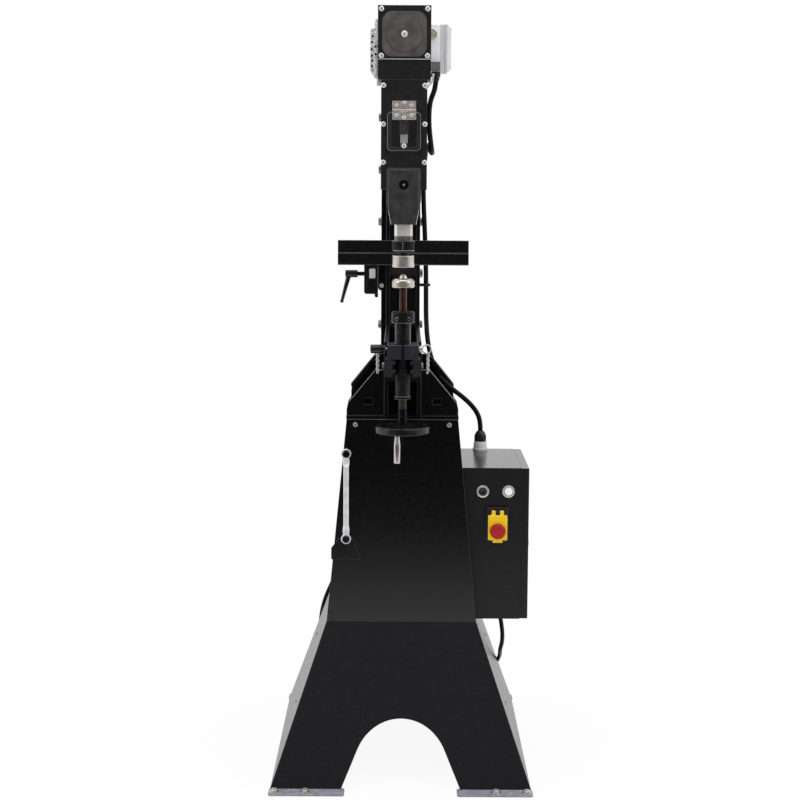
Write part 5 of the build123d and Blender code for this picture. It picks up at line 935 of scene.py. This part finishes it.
# Window in the head cover: a hinged clear door that shows the ram's linkage, pulled by a bolt.
# Polished acrylic sheet with sanded edges, on a rolled steel hinge with three screws a leaf.
acrylic = finish_of("acrylic", (220, 220, 220), (228, 228, 228), (0.02, 0.05), mottle=12)
for socket, value in (("Transmission Weight", 1.0), ("IOR", 1.3)):
    acrylic.node_tree.nodes["Principled BSDF"].inputs[socket].default_value = value
sanded_edge = finish_of("sanded_edge", (150, 150, 150), (182, 182, 182), (0.4, 0.55), mottle=60)
hinge_steel = finish_of(
    "hinge_steel", (150, 141, 135), (208, 198, 192), (0.26, 0.4), metal=0.55, mottle=300, grain=0.5, fine=700
)
finished("window_door", "clear_plastic", acrylic, sanded_edge, 0.5)
finished("hinge_leaf", "plated_steel", hinge_steel, hinge_steel, 0.3)
finished("window_hinge_leaf", "plated_steel", hinge_steel, plated, 0.3)
hinge_z = 1585
hinge_screws = ((-17, 11), (0, 17), (17, 11))
for name, face_y, way, seed, body in (
    ("upper_hinge_screws", -317.6, 1, 9, "frame"),
    ("lower_hinge_screws", -322.2, -1, 10, "window"),
):
    spots = front_spots(face_y, *[(x, hinge_z + way * rise) for x, rise in hinge_screws])
    set_heads(name, button_head, 4.5, 2, spots, plated, "plated_steel", seed, body)
bolt_spot = front_spots(box_mm("window_hinge_leaf")[0].y + 0.4, (0, 1505))
set_heads("window_bolt_head", button_head, 5.6, 2.4, bolt_spot, plated, "plated_steel", 12, "window")

# Work stop: a stepped crossbar on a carriage that slides along a bright rail and is locked by a lever.
# Blackened steel bar and block, ground steel rail, moulded black clamp lever; the bar's rounded edges are
# painted light grey as highlights.
bar_black = finish_of(
    "bar_black", (14, 13, 13), (19, 18, 18), (0.32, 0.44), mottle=60, grain=0.25, gloss=0.14
)
bar_edge = finish_of("bar_edge", (62, 60, 58), (86, 84, 82), (0.3, 0.4), metal=0.3, mottle=90)
finished("stop_rail", "bright_steel", ground_steel, ground_steel, 0.3)
finished("stop_carriage", "black_paint", bar_black, coat_edge, 0.8)
finished("stop_bar", "black_paint", bar_black, bar_edge, 0.8)
finished("stop_lever", "black_plastic", phenolic, phenolic, 0.6, join=False)
face_outline = oblong(-87, 1159, -61, 1193)
cut_plate("carriage_face", face_outline, -152, -1.6, bar_black, coat_edge, body="work_stop")
lug_outline = ((-68, 1158), (-60.3, 1158), (-60.3, 1149), (-66, 1149), (-68, 1151))
cut_plate("carriage_lug", lug_outline, -150, 40, bar_black, coat_edge, body="work_stop")

# Rail bracket: a plate on the mast bar that carries the rail, with one bolt through its foot.
# Cut from black plate; the bolt is plain zinc.
bracket_front = 226
bracket_outline = ((-66, 1222), (-44, 1222), (-44, 1142), (-60, 1142), (-66, 1150))
cut_plate("rail_bracket", bracket_outline, bracket_front, 14, frame_coat, coat_edge)
bracket_bolt = front_spots(bracket_front, (-55.5, 1155))
set_heads("rail_bracket_bolt", hex_head, 6.6, 5, bracket_bolt, plated, "plated_steel", 3)

# Control box on the stand's right side, with a tray-shaped door on hinges at the rear.
# Folded steel sheet under a coarse black texture coat, its top faces painted lighter and smoother for the
# sheen on them; the speed controller is fixed inside.
pebble_coat = finish_of(
    "pebble_coat", (19, 18, 18), (27, 26, 26), (0.28, 0.36), mottle=260, grain=0.5, fine=520, gloss=0.3
)
pebble_edge = finish_of("pebble_edge", (26, 25, 26), (38, 37, 38), (0.34, 0.45), mottle=200, grain=0.4)
lid_coat = finish_of("lid_coat", (34, 33, 33), (46, 45, 45), (0.16, 0.24), mottle=160, grain=0.15)
controller_grey = finish_of("controller_grey", (74, 75, 78), (92, 93, 96), (0.35, 0.5), metal=0.4, grain=0.3)
for sheet in ("control_box", "control_door"):
    folded = finished(sheet, "black_paint", pebble_coat, pebble_edge, 0.4, join=False)
    lit_top_height = box_mm(sheet)[1].z - 0.3
    repaint(folded, lid_coat, lambda face, at: at.z > lit_top_height)
finished("speed_controller", "box_grey", controller_grey, coat_edge, 0.6)

# Start button and pilot lamp on the box's front, each in its own bright bezel.
# Moulded black button with a dished face, opal lens, chromed bezel rings.
box_front = box_mm("control_box")[0].y
button_low, button_high, button_middle = box_mm("start_button")
button_length = button_high.y - button_low.y
cap_profile = (
    (0, 0), (9, 0), (9, button_length - 1.6), (8.6, button_length - 0.5), (7.9, button_length),
    (6.6, button_length - 0.2), (4.4, button_length - 1.1), (0, button_length - 1.5),
)
cap_place = (button_middle.x, button_high.y, button_middle.z)
turned_piece(
    "start_cap", cap_profile, cap_place, forward, moulded_black, "start", "black_plastic", "start_button"
)
lens_finish = finish_of("lens_finish", (226, 226, 230), (240, 240, 243), (0.12, 0.2), mottle=60)
lens_profile = ((0, 0), (10, 0), (10, 4.8), (9.2, 6), (7, 6.7), (3.5, 6.95), (0, 7))
lamp_middle = box_mm("pilot_lamp")[2]
lens_place = (lamp_middle.x, box_front, lamp_middle.z)
turned_piece("lamp_lens", lens_profile, lens_place, forward, lens_finish, "frame", "lamp_lens", "pilot_lamp")
button_place = (button_middle.x, box_front, button_middle.z)
bezel_profile = ((9.5, 0), (15.6, 0), (15.4, 2.4), (14.6, 4), (12.6, 4.6), (10, 4.2), (9.5, 3.2))
collar_profile = ((11, 0), (15.4, 0), (15.2, 2.6), (14.4, 4.2), (12.6, 4.8), (11.3, 4.4), (11, 3.6))
for name, profile, place in (
    ("start_bezel", bezel_profile, button_place),
    ("lamp_bezel", collar_profile, lens_place),
):
    turned_piece(name, profile, place, forward, plated, "frame", "plated_steel", steps=56, closed=True)

# Stop switch: a back plate with a hinged yellow flap and a red mushroom through it.
# Glossy moulded plastic; the mushroom latches off when it is struck.
yellow = finish_of("yellow", (224, 178, 4), (236, 192, 10), (0.24, 0.34), mottle=30, grain=0.1, gloss=0.3)
yellow_tip = finish_of("yellow_tip", (244, 214, 96), (250, 228, 150), (0.24, 0.34), mottle=60)
red = finish_of("red", (146, 14, 20), (164, 24, 30), (0.24, 0.36), mottle=40, grain=0.15, gloss=0.3)
finished("stop_switch_plate", "black_plastic", moulded_black, coat_edge, 0.6)
finished("stop_flap", "yellow_plastic", yellow, yellow_tip, 0.5, join=False)
mushroom_low, mushroom_high, mushroom_middle = box_mm("stop_mushroom")
cap_height = 12
cap_start = mushroom_high.y - mushroom_low.y - cap_height
mushroom_profile = [(0, 0), (7, 0), (7, cap_start)]
for radius, rise in (
    (15.6, 0), (18.2, 1), (18.8, 3), (18.6, 5.5), (17.4, 8.6), (14.6, 10.8), (11, 11.7), (10.4, 11.3),
    (9.8, 11.7), (0, cap_height),
):
    mushroom_profile.append((radius, cap_start + rise))
mushroom_place = (mushroom_middle.x, mushroom_high.y, mushroom_middle.z)
turned_piece(
    "mushroom_head", mushroom_profile, mushroom_place, forward, red, "mushroom", "red_plastic",
    "stop_mushroom", steps=56,
)

# Cable glands: sealing nuts where the cables enter the motor, the box and the stand.
# Moulded nylon: ribbed black nuts, a pale grey body on the box and a ribbed grey elbow at the motor.


def nuts_tree():
    """Node tree that makes ribbed nuts: a ring of round ribs on every spot, along the spot's direction."""
    given = {"Spots": "Geometry", "Ribs": "Int", "Nut Radius": "Float", "Nut Height": "Float"}
    given.update({"Rib Radius": "Float", "Finish": "Material"})
    tree, ask = open_tree("ribs_round_spots", given, "Ribs")
    inputs = {"Vertices": ask["Ribs"], "Radius": ask["Nut Radius"]}
    circle = add_node(tree, "GeometryNodeMeshCircle", inputs)[0]
    inputs = {"Vertices": 8, "Radius": ask["Rib Radius"], "Depth": ask["Nut Height"]}
    rib = add_node(tree, "GeometryNodeMeshCylinder", inputs)[0]
    ring = add_node(tree, "GeometryNodeInstanceOnPoints", {"Points": circle, "Instance": rib})[0]
    inputs = {"Points": ask["Spots"], "Instance": ring, "Rotation": upright(tree)}
    return close_tree(tree, inputs, ask["Finish"])


pale_nylon = finish_of("pale_nylon", (206, 206, 208), (224, 224, 226), (0.35, 0.5), mottle=50, grain=0.2)
grey_nylon = finish_of("grey_nylon", (92, 92, 94), (134, 134, 136), (0.4, 0.55), mottle=140, grain=0.3)
up = (0, 0, 1)
down = (0, 0, -1)
back = (0, 1, 0)
skirt_out = Vector((0, 0.911, 0.413))
low_gland = Vector((-221, 280.7, 190))
motor_body = ((0, 0), (10, 0), (10.4, 2), (10.4, 12), (9, 13), (0, 13))
motor_nut = ((0, 0), (8.6, 0), (8.8, 5), (7.6, 9), (6.6, 10), (0, 10))
box_body = ((0, 0), (19, 0), (19, 5), (17, 6), (16.6, 20), (15.4, 22), (0, 22))
box_nut = ((0, 0), (14, 0), (14, 16), (12.4, 21), (9.4, 25.5), (7.6, 27), (0, 27))
mains_nut = ((0, 0), (12, 0), (12, 10), (10.4, 16), (7.4, 21), (6.4, 22), (0, 22))
lead_nut = ((0, 0), (11, 0), (11, 9), (9.4, 14), (7, 17.4), (6.2, 18), (0, 18))
for name, place, facing, profile, finish in (
    ("motor_gland", (75, -125, 1683), down, motor_body, moulded_black),
    ("motor_gland_nut", (75, -125, 1671), down, motor_nut, moulded_black),
    ("box_gland", (201, 112, 741), up, box_body, pale_nylon),
    ("box_gland_nut", (201, 112, 763), up, box_nut, moulded_black),
    ("mains_gland", (250, 60, 369), down, mains_nut, moulded_black),
    ("rear_gland", (-130, 200, 430), back, lead_nut, moulded_black),
    ("low_gland", low_gland, skirt_out, lead_nut, moulded_black),
):
    gland = turned_piece(name, profile, place, facing, finish, "frame", "black_plastic")
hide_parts("cable_glands")
ribbed_block("lead_elbow", (63, 84), (-168, -150.3), (1682.5, 1704), 6, grey_nylon, "frame", "black_plastic")
ribbing = nuts_tree()
lead_spots = [((-130, 205, 430), back), (low_gland + skirt_out * 5, skirt_out)]
for name, spots, ribs, radius, height, rib in (
    ("motor_gland_ribs", [((75, -125, 1677), down)], 28, 10.2, 9, 0.7),
    ("box_gland_ribs", [((201, 112, 771), up)], 18, 13.9, 15, 1.2),
    ("mains_gland_ribs", [((250, 60, 364), down)], 16, 11.9, 9, 1.0),
    ("rear_gland_ribs", lead_spots, 16, 10.9, 8, 0.9),
):
    inputs = {"Ribs": ribs, "Nut Radius": radius * mm, "Nut Height": height * mm, "Rib Radius": rib * mm}
    inputs["Finish"] = moulded_black
    carry(grown(name, spot_mesh(spots), ribbing, inputs), "frame", "black_plastic")

# Motor cable and rear lead: fixed cables, the first from the motor down the column to the control box,
# the second round the stand's rear left corner.
# Black rubber jackets; a nylon tie holds the first to the frame.


def laid_cord(name, route, diameter, finish):
    """A round cord on one smooth line, its route's points in mm."""
    line = bpy.data.curves.new(name, "CURVE")
    line.dimensions = "3D"
    line.bevel_depth = diameter / 2 * mm
    line.bevel_resolution = 5
    line.resolution_u = 6
    line.use_fill_caps = True
    spline = line.splines.new("NURBS")
    spline.points.add(len(route) - 1)
    for point, place in zip(spline.points, route):
        point.co = (*(Vector(place) * mm), 1)
    spline.order_u = 3
    spline.use_endpoint_u = True
    line.materials.append(finish)
    return link_in(name, line)


def line_length(piece):
    """Length of a cord's own line in metres."""
    bare = piece.data.copy()
    bare.bevel_depth = 0
    probe = bpy.data.objects.new("probe", bare)
    points = bpy.data.meshes.new_from_object(probe).vertices
    total = 0
    for here, after in zip(points, points[1:]):
        total += (after.co - here.co).length
    bpy.data.objects.remove(probe)
    return total


rubber = finish_of("rubber", (15, 15, 16), (23, 23, 25), (0.4, 0.52), mottle=120, grain=0.2, gloss=0.14)
motor_route = (
    (75, -125, 1661), (73.5, -125, 1642), (62, -125, 1616), (59, -126, 1582), (60, -125, 1553),
    (62.5, -120, 1530), (65.5, -107, 1510), (67.5, -88, 1497.5), (68.5, -65, 1493), (67.5, -33, 1495),
    (64, 2, 1504), (60.5, 42, 1513), (59.5, 100, 1516), (57, 164, 1508), (53, 208, 1466),
    (51.5, 228, 1405), (54, 232, 1340), (57.5, 231, 1270), (60, 231, 1200), (60.6, 229, 1130),
    (61, 221, 1068), (65, 198, 1010), (78, 172, 956), (98, 150, 922), (123, 134, 899),
    (150, 122, 880), (174, 115, 860), (192, 112, 838), (201, 112, 813), (201, 112, 790),
)
rear_route = (
    (-130, 218, 430), (-130, 256, 430), (-135, 294, 424), (-147, 328, 406), (-165, 350, 377),
    (-184, 361, 343), (-201, 365, 307), (-214, 361, 271), (-220, 348, 237), (-221, 324.4, 209.8),
    (-221, 297.1, 197.4),
)
for name, route, diameter, nodes in (
    ("motor_cable", motor_route, 12.5, ["fixed_cables"]),
    ("rear_lead", rear_route, 11, []),
):
    cable = laid_cord(name, route, diameter, rubber)
    carry(cable, "frame", "cable_rubber", *nodes)
    line_length(cable)


def strap(name, outline, along, width, thickness, finish):
    """A closed band round an outline of points in mm, its width along a direction."""
    middle = sum((Vector(point) for point in outline), Vector()) / len(outline)
    side = Vector(along) * width / 2
    rows = []
    for point in outline:
        inner = Vector(point)
        outer = inner + (inner - middle).normalized() * thickness
        rows.append((inner - side, inner + side, outer + side, outer - side))
    shape = bmesh.new()
    skin(shape, rows, closed=True)
    return piece_of(name, mesh_of(name, shape), finish)


tie_radius = 6.8
tie_y = 230
tie_z = 1157
cable_x = 60.3
column_side = 44.4
tie_steps = 32
tie_outline = []
for step in range(tie_steps):
    angle = 2 * pi * step / tie_steps
    across = cable_x + tie_radius * cos(angle) if cos(angle) > 0 else column_side + 0.4 * cos(angle)
    tie_outline.append((across, tie_y + tie_radius * sin(angle), tie_z))
carry(strap("cable_tie", tie_outline, up, 7, 1.6, moulded_black), "frame", "black_plastic")
tie_stud = [((67.5, tie_y, tie_z), (1, 0, 0))]
set_heads("cable_tie_stud", hex_head, 4.4, 4, tie_stud, moulded_black, "black_plastic", 2)

# Mains lead: from its gland under the box, back past the base and down to the floor behind it,
# where the rest is wound into a neat tied coil with the plug beside it. Black rubber, eleven millimetres.
lead_diameter = 11
lead_route = [
    (250, 60, 347), (253, 60, 322), (259, 66, 293), (263, 82, 262), (264, 112, 232), (262, 152, 205),
    (264, 202, 182), (267, 254, 160), (266, 302, 136), (259, 345, 108), (246, 380, 80), (228, 404, 54),
    (203, 418, 31), (172, 421.5, 13.5), (135, 417, 6.4), (92, 413, 5.7), (60, 413, 5.7),
]
coil_x = 30
coil_y = 485
coil_radius = 72
coil_step = 5.9
coil_layer = 11.6
half_turns = (0, 1, 2, 3, 4, 5, 4, 2, 1)
climbing = 5
points_per_half = 8
curve_draw_in = 0.981
edge_y = coil_y - coil_radius
heading = 1
lead_height = 5.7
for inset in half_turns:
    radius = coil_radius - inset * coil_step
    reach = radius / curve_draw_in
    centre_y = edge_y + heading * radius
    climb = coil_layer if inset == climbing else 0
    for point in range(points_per_half):
        share = (point + 0.5) / points_per_half
        x = coil_x - heading * reach * sin(pi * share)
        y = centre_y - heading * reach * cos(pi * share)
        lead_route.append((x, y, lead_height + climb * share))
    lead_height += climb
    edge_y = centre_y + heading * radius
    heading = -heading
tail_middle = 18
tail_end = 45
plug_start = (coil_x + tail_end, edge_y, lead_height)
lead_route += [(coil_x + tail_middle, edge_y, lead_height), plug_start]
mains_lead = laid_cord("mains_cord", lead_route, lead_diameter, rubber)
carry(mains_lead, "frame", "cable_rubber", "mains_lead", "mains_coil")
coil_tie_outline = (
    (33, 0.2), (80, 0.2), (81, 3), (81, 20), (78, 24), (60, 24.5), (40, 24.5), (33, 23), (31, 20), (31, 3)
)
tie_points = [(coil_x - reach, coil_y, height) for reach, height in coil_tie_outline]
coil_tie = strap("coil_tie", tie_points, back, 12, 0.9, moulded_black)
for corner in coil_tie.data.vertices:
    corner.co.z = max(corner.co.z, 0)
carry(coil_tie, "frame", "black_plastic")

# Mains plug: a moulded two-pin plug with a ribbed strain relief, lying on the coil's outer edge.
# Black rubber body with finger grips; nickel-plated round pins.
relief_rings = 6
relief_length = 35
relief_radius = 6.6
relief_flare = 2.4
relief_groove = 0.9
plug_length = 80
plug_profile = [(0, 0), (6.4, 0)]
for ring in range(relief_rings):
    begin = relief_length * ring / relief_rings
    outer = relief_radius + relief_flare * ring / relief_rings
    inner = outer - relief_groove
    plug_profile += [(outer, begin + 0.4), (outer, begin + 3.6), (inner, begin + 4), (inner, begin + 5.6)]
plug_profile += [
    (9, relief_length), (13.6, 35.4), (16.2, 37.4), (17, 41), (17, 46), (16, 47), (16, 51), (17, 52),
    (17, 56), (16, 57), (16, 61), (17, 62), (17, 77.4), (16.2, 79.2), (14.4, plug_length),
    (0, plug_length),
]
plug = turned_piece(
    "plug_body", plug_profile, plug_start, (1, 0, 0), moulded_black, "frame", "cable_rubber", "mains_plug"
)
pin_profile = ((0, 0), (1, 0), (1, 0.88), (0.86, 0.96), (0.5, 1), (0, 1))
pin_spots = []
for side in (-9.5, 9.5):
    pin_spots.append(((plug_start[0] + plug_length, plug_start[1] + side, plug_start[2]), (1, 0, 0)))
pins = set_heads("plug_pins", turned(pin_profile, 24), 2.4, 19, pin_spots, zinc, "plated_steel")
line_length(mains_lead)

# Double ring spanner for the die sockets, hung on two pegs of a bracket on the stand's front.
# Drop-forged chrome steel, polished rings and a satin shank with a sunk panel; bracket in the black coat.
spanner_low, spanner_high, spanner_middle = box_mm("spanner")
ring_radius = 12
spanner_ends = (spanner_low.z + ring_radius, spanner_high.z - ring_radius)
chrome = finish_of("chrome", (218, 218, 224), (248, 248, 252), (0.1, 0.2), metal=0.35, mottle=70)
forged = bmesh.new()
ring_profile = (
    (8.6, 0.8), (9.6, 0), (11, 0), (ring_radius, 1.2), (ring_radius, 6.8), (11, 8), (9.6, 8), (8.6, 7.2)
)
ring_steps = 96
socket_radius = 9
socket_points = 12
socket_wave = 0.35
for centre in spanner_ends:
    rows = []
    for radius, depth in ring_profile:
        row = []
        for step in range(ring_steps):
            angle = 2 * pi * step / ring_steps
            reach = radius + (socket_wave * cos(socket_points * angle) if radius < socket_radius else 0)
            x = spanner_middle.x + reach * cos(angle)
            row.append((x, spanner_low.y + depth, centre + reach * sin(angle)))
        rows.append(row)
    skin(forged, rows, closed=True)
shank_span = 207
shank_end = ((11, 7.2, 6.4), (22, 8, 6), (30, 6.9, 5.6), (31.5, 5.8, 4.2), (33, 6.3, 5))
shank_rows = list(shank_end)
for rise, half, thick in reversed(shank_end):
    shank_rows.append((shank_span - rise, half, thick))
front_section = ((-1, -0.55), (-0.8, -0.95), (-0.45, -1), (0.45, -1), (0.8, -0.95), (1, -0.55))
shank_section = list(front_section)
for across, out in front_section:
    shank_section.append((-across, -out))
panel_sink = 0.8
panel_half = 0.5
panel_end = 32
rows = []
for rise, half, thick in shank_rows:
    row = []
    for across, out in shank_section:
        in_panel = abs(across) < panel_half and panel_end < rise < shank_span - panel_end
        depth = spanner_middle.y + out * thick / 2 * (panel_sink if in_panel else 1)
        row.append((spanner_middle.x + across * half, depth, spanner_ends[0] + rise))
    rows.append(row)
skin(forged, rows, capped=True)
spanner = piece_of("ring_spanner", mesh_of("ring_spanner", forged, 32), chrome)
carry(spanner, "wrench", "plated_steel", "spanner")
finished("spanner_bracket", "black_paint", stand_coat, coat_edge, 0.8)

# Studio floor: a wide white plane that shows a faint shadow under the stand.
# Matt white, lifted to plain white where the camera and reflections see it.


def larger(tree, one, other):
    """The larger of two values."""
    return add_node(tree, "ShaderNodeMath", {0: one, 1: other}, operation="MAXIMUM")[0]


def mixed(tree, share, one, other):
    """A mix of two shaders by a share."""
    return add_node(tree, "ShaderNodeMixShader", {0: share, 1: one, 2: other})[0]


white = (1, 1, 1, 1)
floor_half = 15
floor_height = -0.5 * mm
floor_mesh = bpy.data.meshes.new("floor")
floor_corners = [(x, y, floor_height) for x, y in oblong(-floor_half, -floor_half, floor_half, floor_half)]
floor_mesh.from_pydata(floor_corners, [], [(0, 1, 2, 3)])
floor = link_in("floor", floor_mesh)
floor_white = bpy.data.materials.new("floor_white")
floor_white.use_nodes = True
tree = floor_white.node_tree
tree.nodes.remove(tree.nodes["Principled BSDF"])
rays = add_node(tree, "ShaderNodeLightPath")
place = add_node(tree, "ShaderNodeTexCoord")["Object"]
away = add_node(tree, "ShaderNodeVectorMath", {0: place}, operation="LENGTH")["Value"]
fading = add_node(tree, "ShaderNodeMapRange", {0: away, 1: 0.5, 2: 2.0, 3: 0.93, 4: 1.0})[0]
ahead = add_node(tree, "ShaderNodeSeparateXYZ", {0: place})["Y"]
mirrored = add_node(tree, "ShaderNodeMapRange", {0: ahead, 1: -2.95, 2: -1.55, 3: 0.01, 4: 1.0})[0]
matt = add_node(tree, "ShaderNodeBsdfDiffuse", {"Color": (0.9, 0.9, 0.9, 1)})[0]
glow = add_node(tree, "ShaderNodeEmission", {"Color": white, "Strength": 1.0})[0]
sheen = add_node(tree, "ShaderNodeEmission", {"Color": white, "Strength": mirrored})[0]
lifted = mixed(tree, rays["Is Glossy Ray"], glow, sheen)
seen = larger(tree, larger(tree, rays["Is Camera Ray"], rays["Is Glossy Ray"]), rays["Is Transmission Ray"])
share = add_node(tree, "ShaderNodeMath", {0: seen, 1: fading}, operation="MULTIPLY")[0]
tree.links.new(mixed(tree, share, matt, lifted), tree.nodes["Material Output"].inputs["Surface"])
floor_mesh.materials.append(floor_white)

# Room light: white all round for the eye, dim behind the camera for reflections, soft for everything else.
# Three square softboxes, one overhead and one at each side, give the light its direction.
world = bpy.data.worlds.new("studio")
bpy.context.scene.world = world
world.use_nodes = True
tree = world.node_tree
tree.nodes.remove(tree.nodes["Background"])
rays = add_node(tree, "ShaderNodeLightPath")
way = add_node(tree, "ShaderNodeTexCoord")["Generated"]
ahead = add_node(tree, "ShaderNodeSeparateXYZ", {0: way})["Y"]
dimmed = add_node(tree, "ShaderNodeMapRange", {0: ahead, 1: -0.9, 2: -0.3, 3: 0.15, 4: 1.0})[0]
fill = add_node(tree, "ShaderNodeBackground", {"Color": white, "Strength": 0.88})[0]
mirror_room = add_node(tree, "ShaderNodeBackground", {"Color": white, "Strength": dimmed})[0]
plain_white = add_node(tree, "ShaderNodeBackground", {"Color": white, "Strength": 1.0})[0]
clear = larger(tree, rays["Is Camera Ray"], rays["Is Transmission Ray"])
room = mixed(tree, clear, mixed(tree, rays["Is Glossy Ray"], fill, mirror_room), plain_white)
tree.links.new(room, tree.nodes["World Output"].inputs["Surface"])
for name, place, aim, size, power in (
    ("overhead", (0, -0.6, 4.2), (0, 0, 1), 2.4, 32),
    ("left_side", (-2.8, -1.8, 2.2), (0, -0.2, 1.1), 1.6, 16),
    ("right_side", (2.8, -1.8, 2.2), (0, -0.2, 1.1), 1.6, 16),
):
    lamp = bpy.data.lights.new(name, "AREA")
    lamp.shape = "SQUARE"
    lamp.size = size
    lamp.energy = power
    softbox = link_in(name, lamp)
    softbox.location = place
    softbox.rotation_euler = (Vector(aim) - Vector(place)).to_track_quat("-Z", "Y").to_euler()

# Camera: straight at the front from a little above the work height, on a long lens.
# Its place, tilt and slight roll were fitted to the photo.
camera_data = bpy.data.cameras.new("camera")
camera_data.sensor_width = 36
camera_data.lens = 78.03
camera = link_in("camera", camera_data)
tilt = Matrix.Rotation(radians(82.8), 4, "X")
roll = Matrix.Rotation(radians(0.3), 4, "Z")
camera.matrix_world = Matrix.Translation((-0.006, -4.3025, 1.426)) @ tilt @ roll
bpy.context.scene.camera = camera
bpy.context.scene.view_settings.view_transform = "Standard"
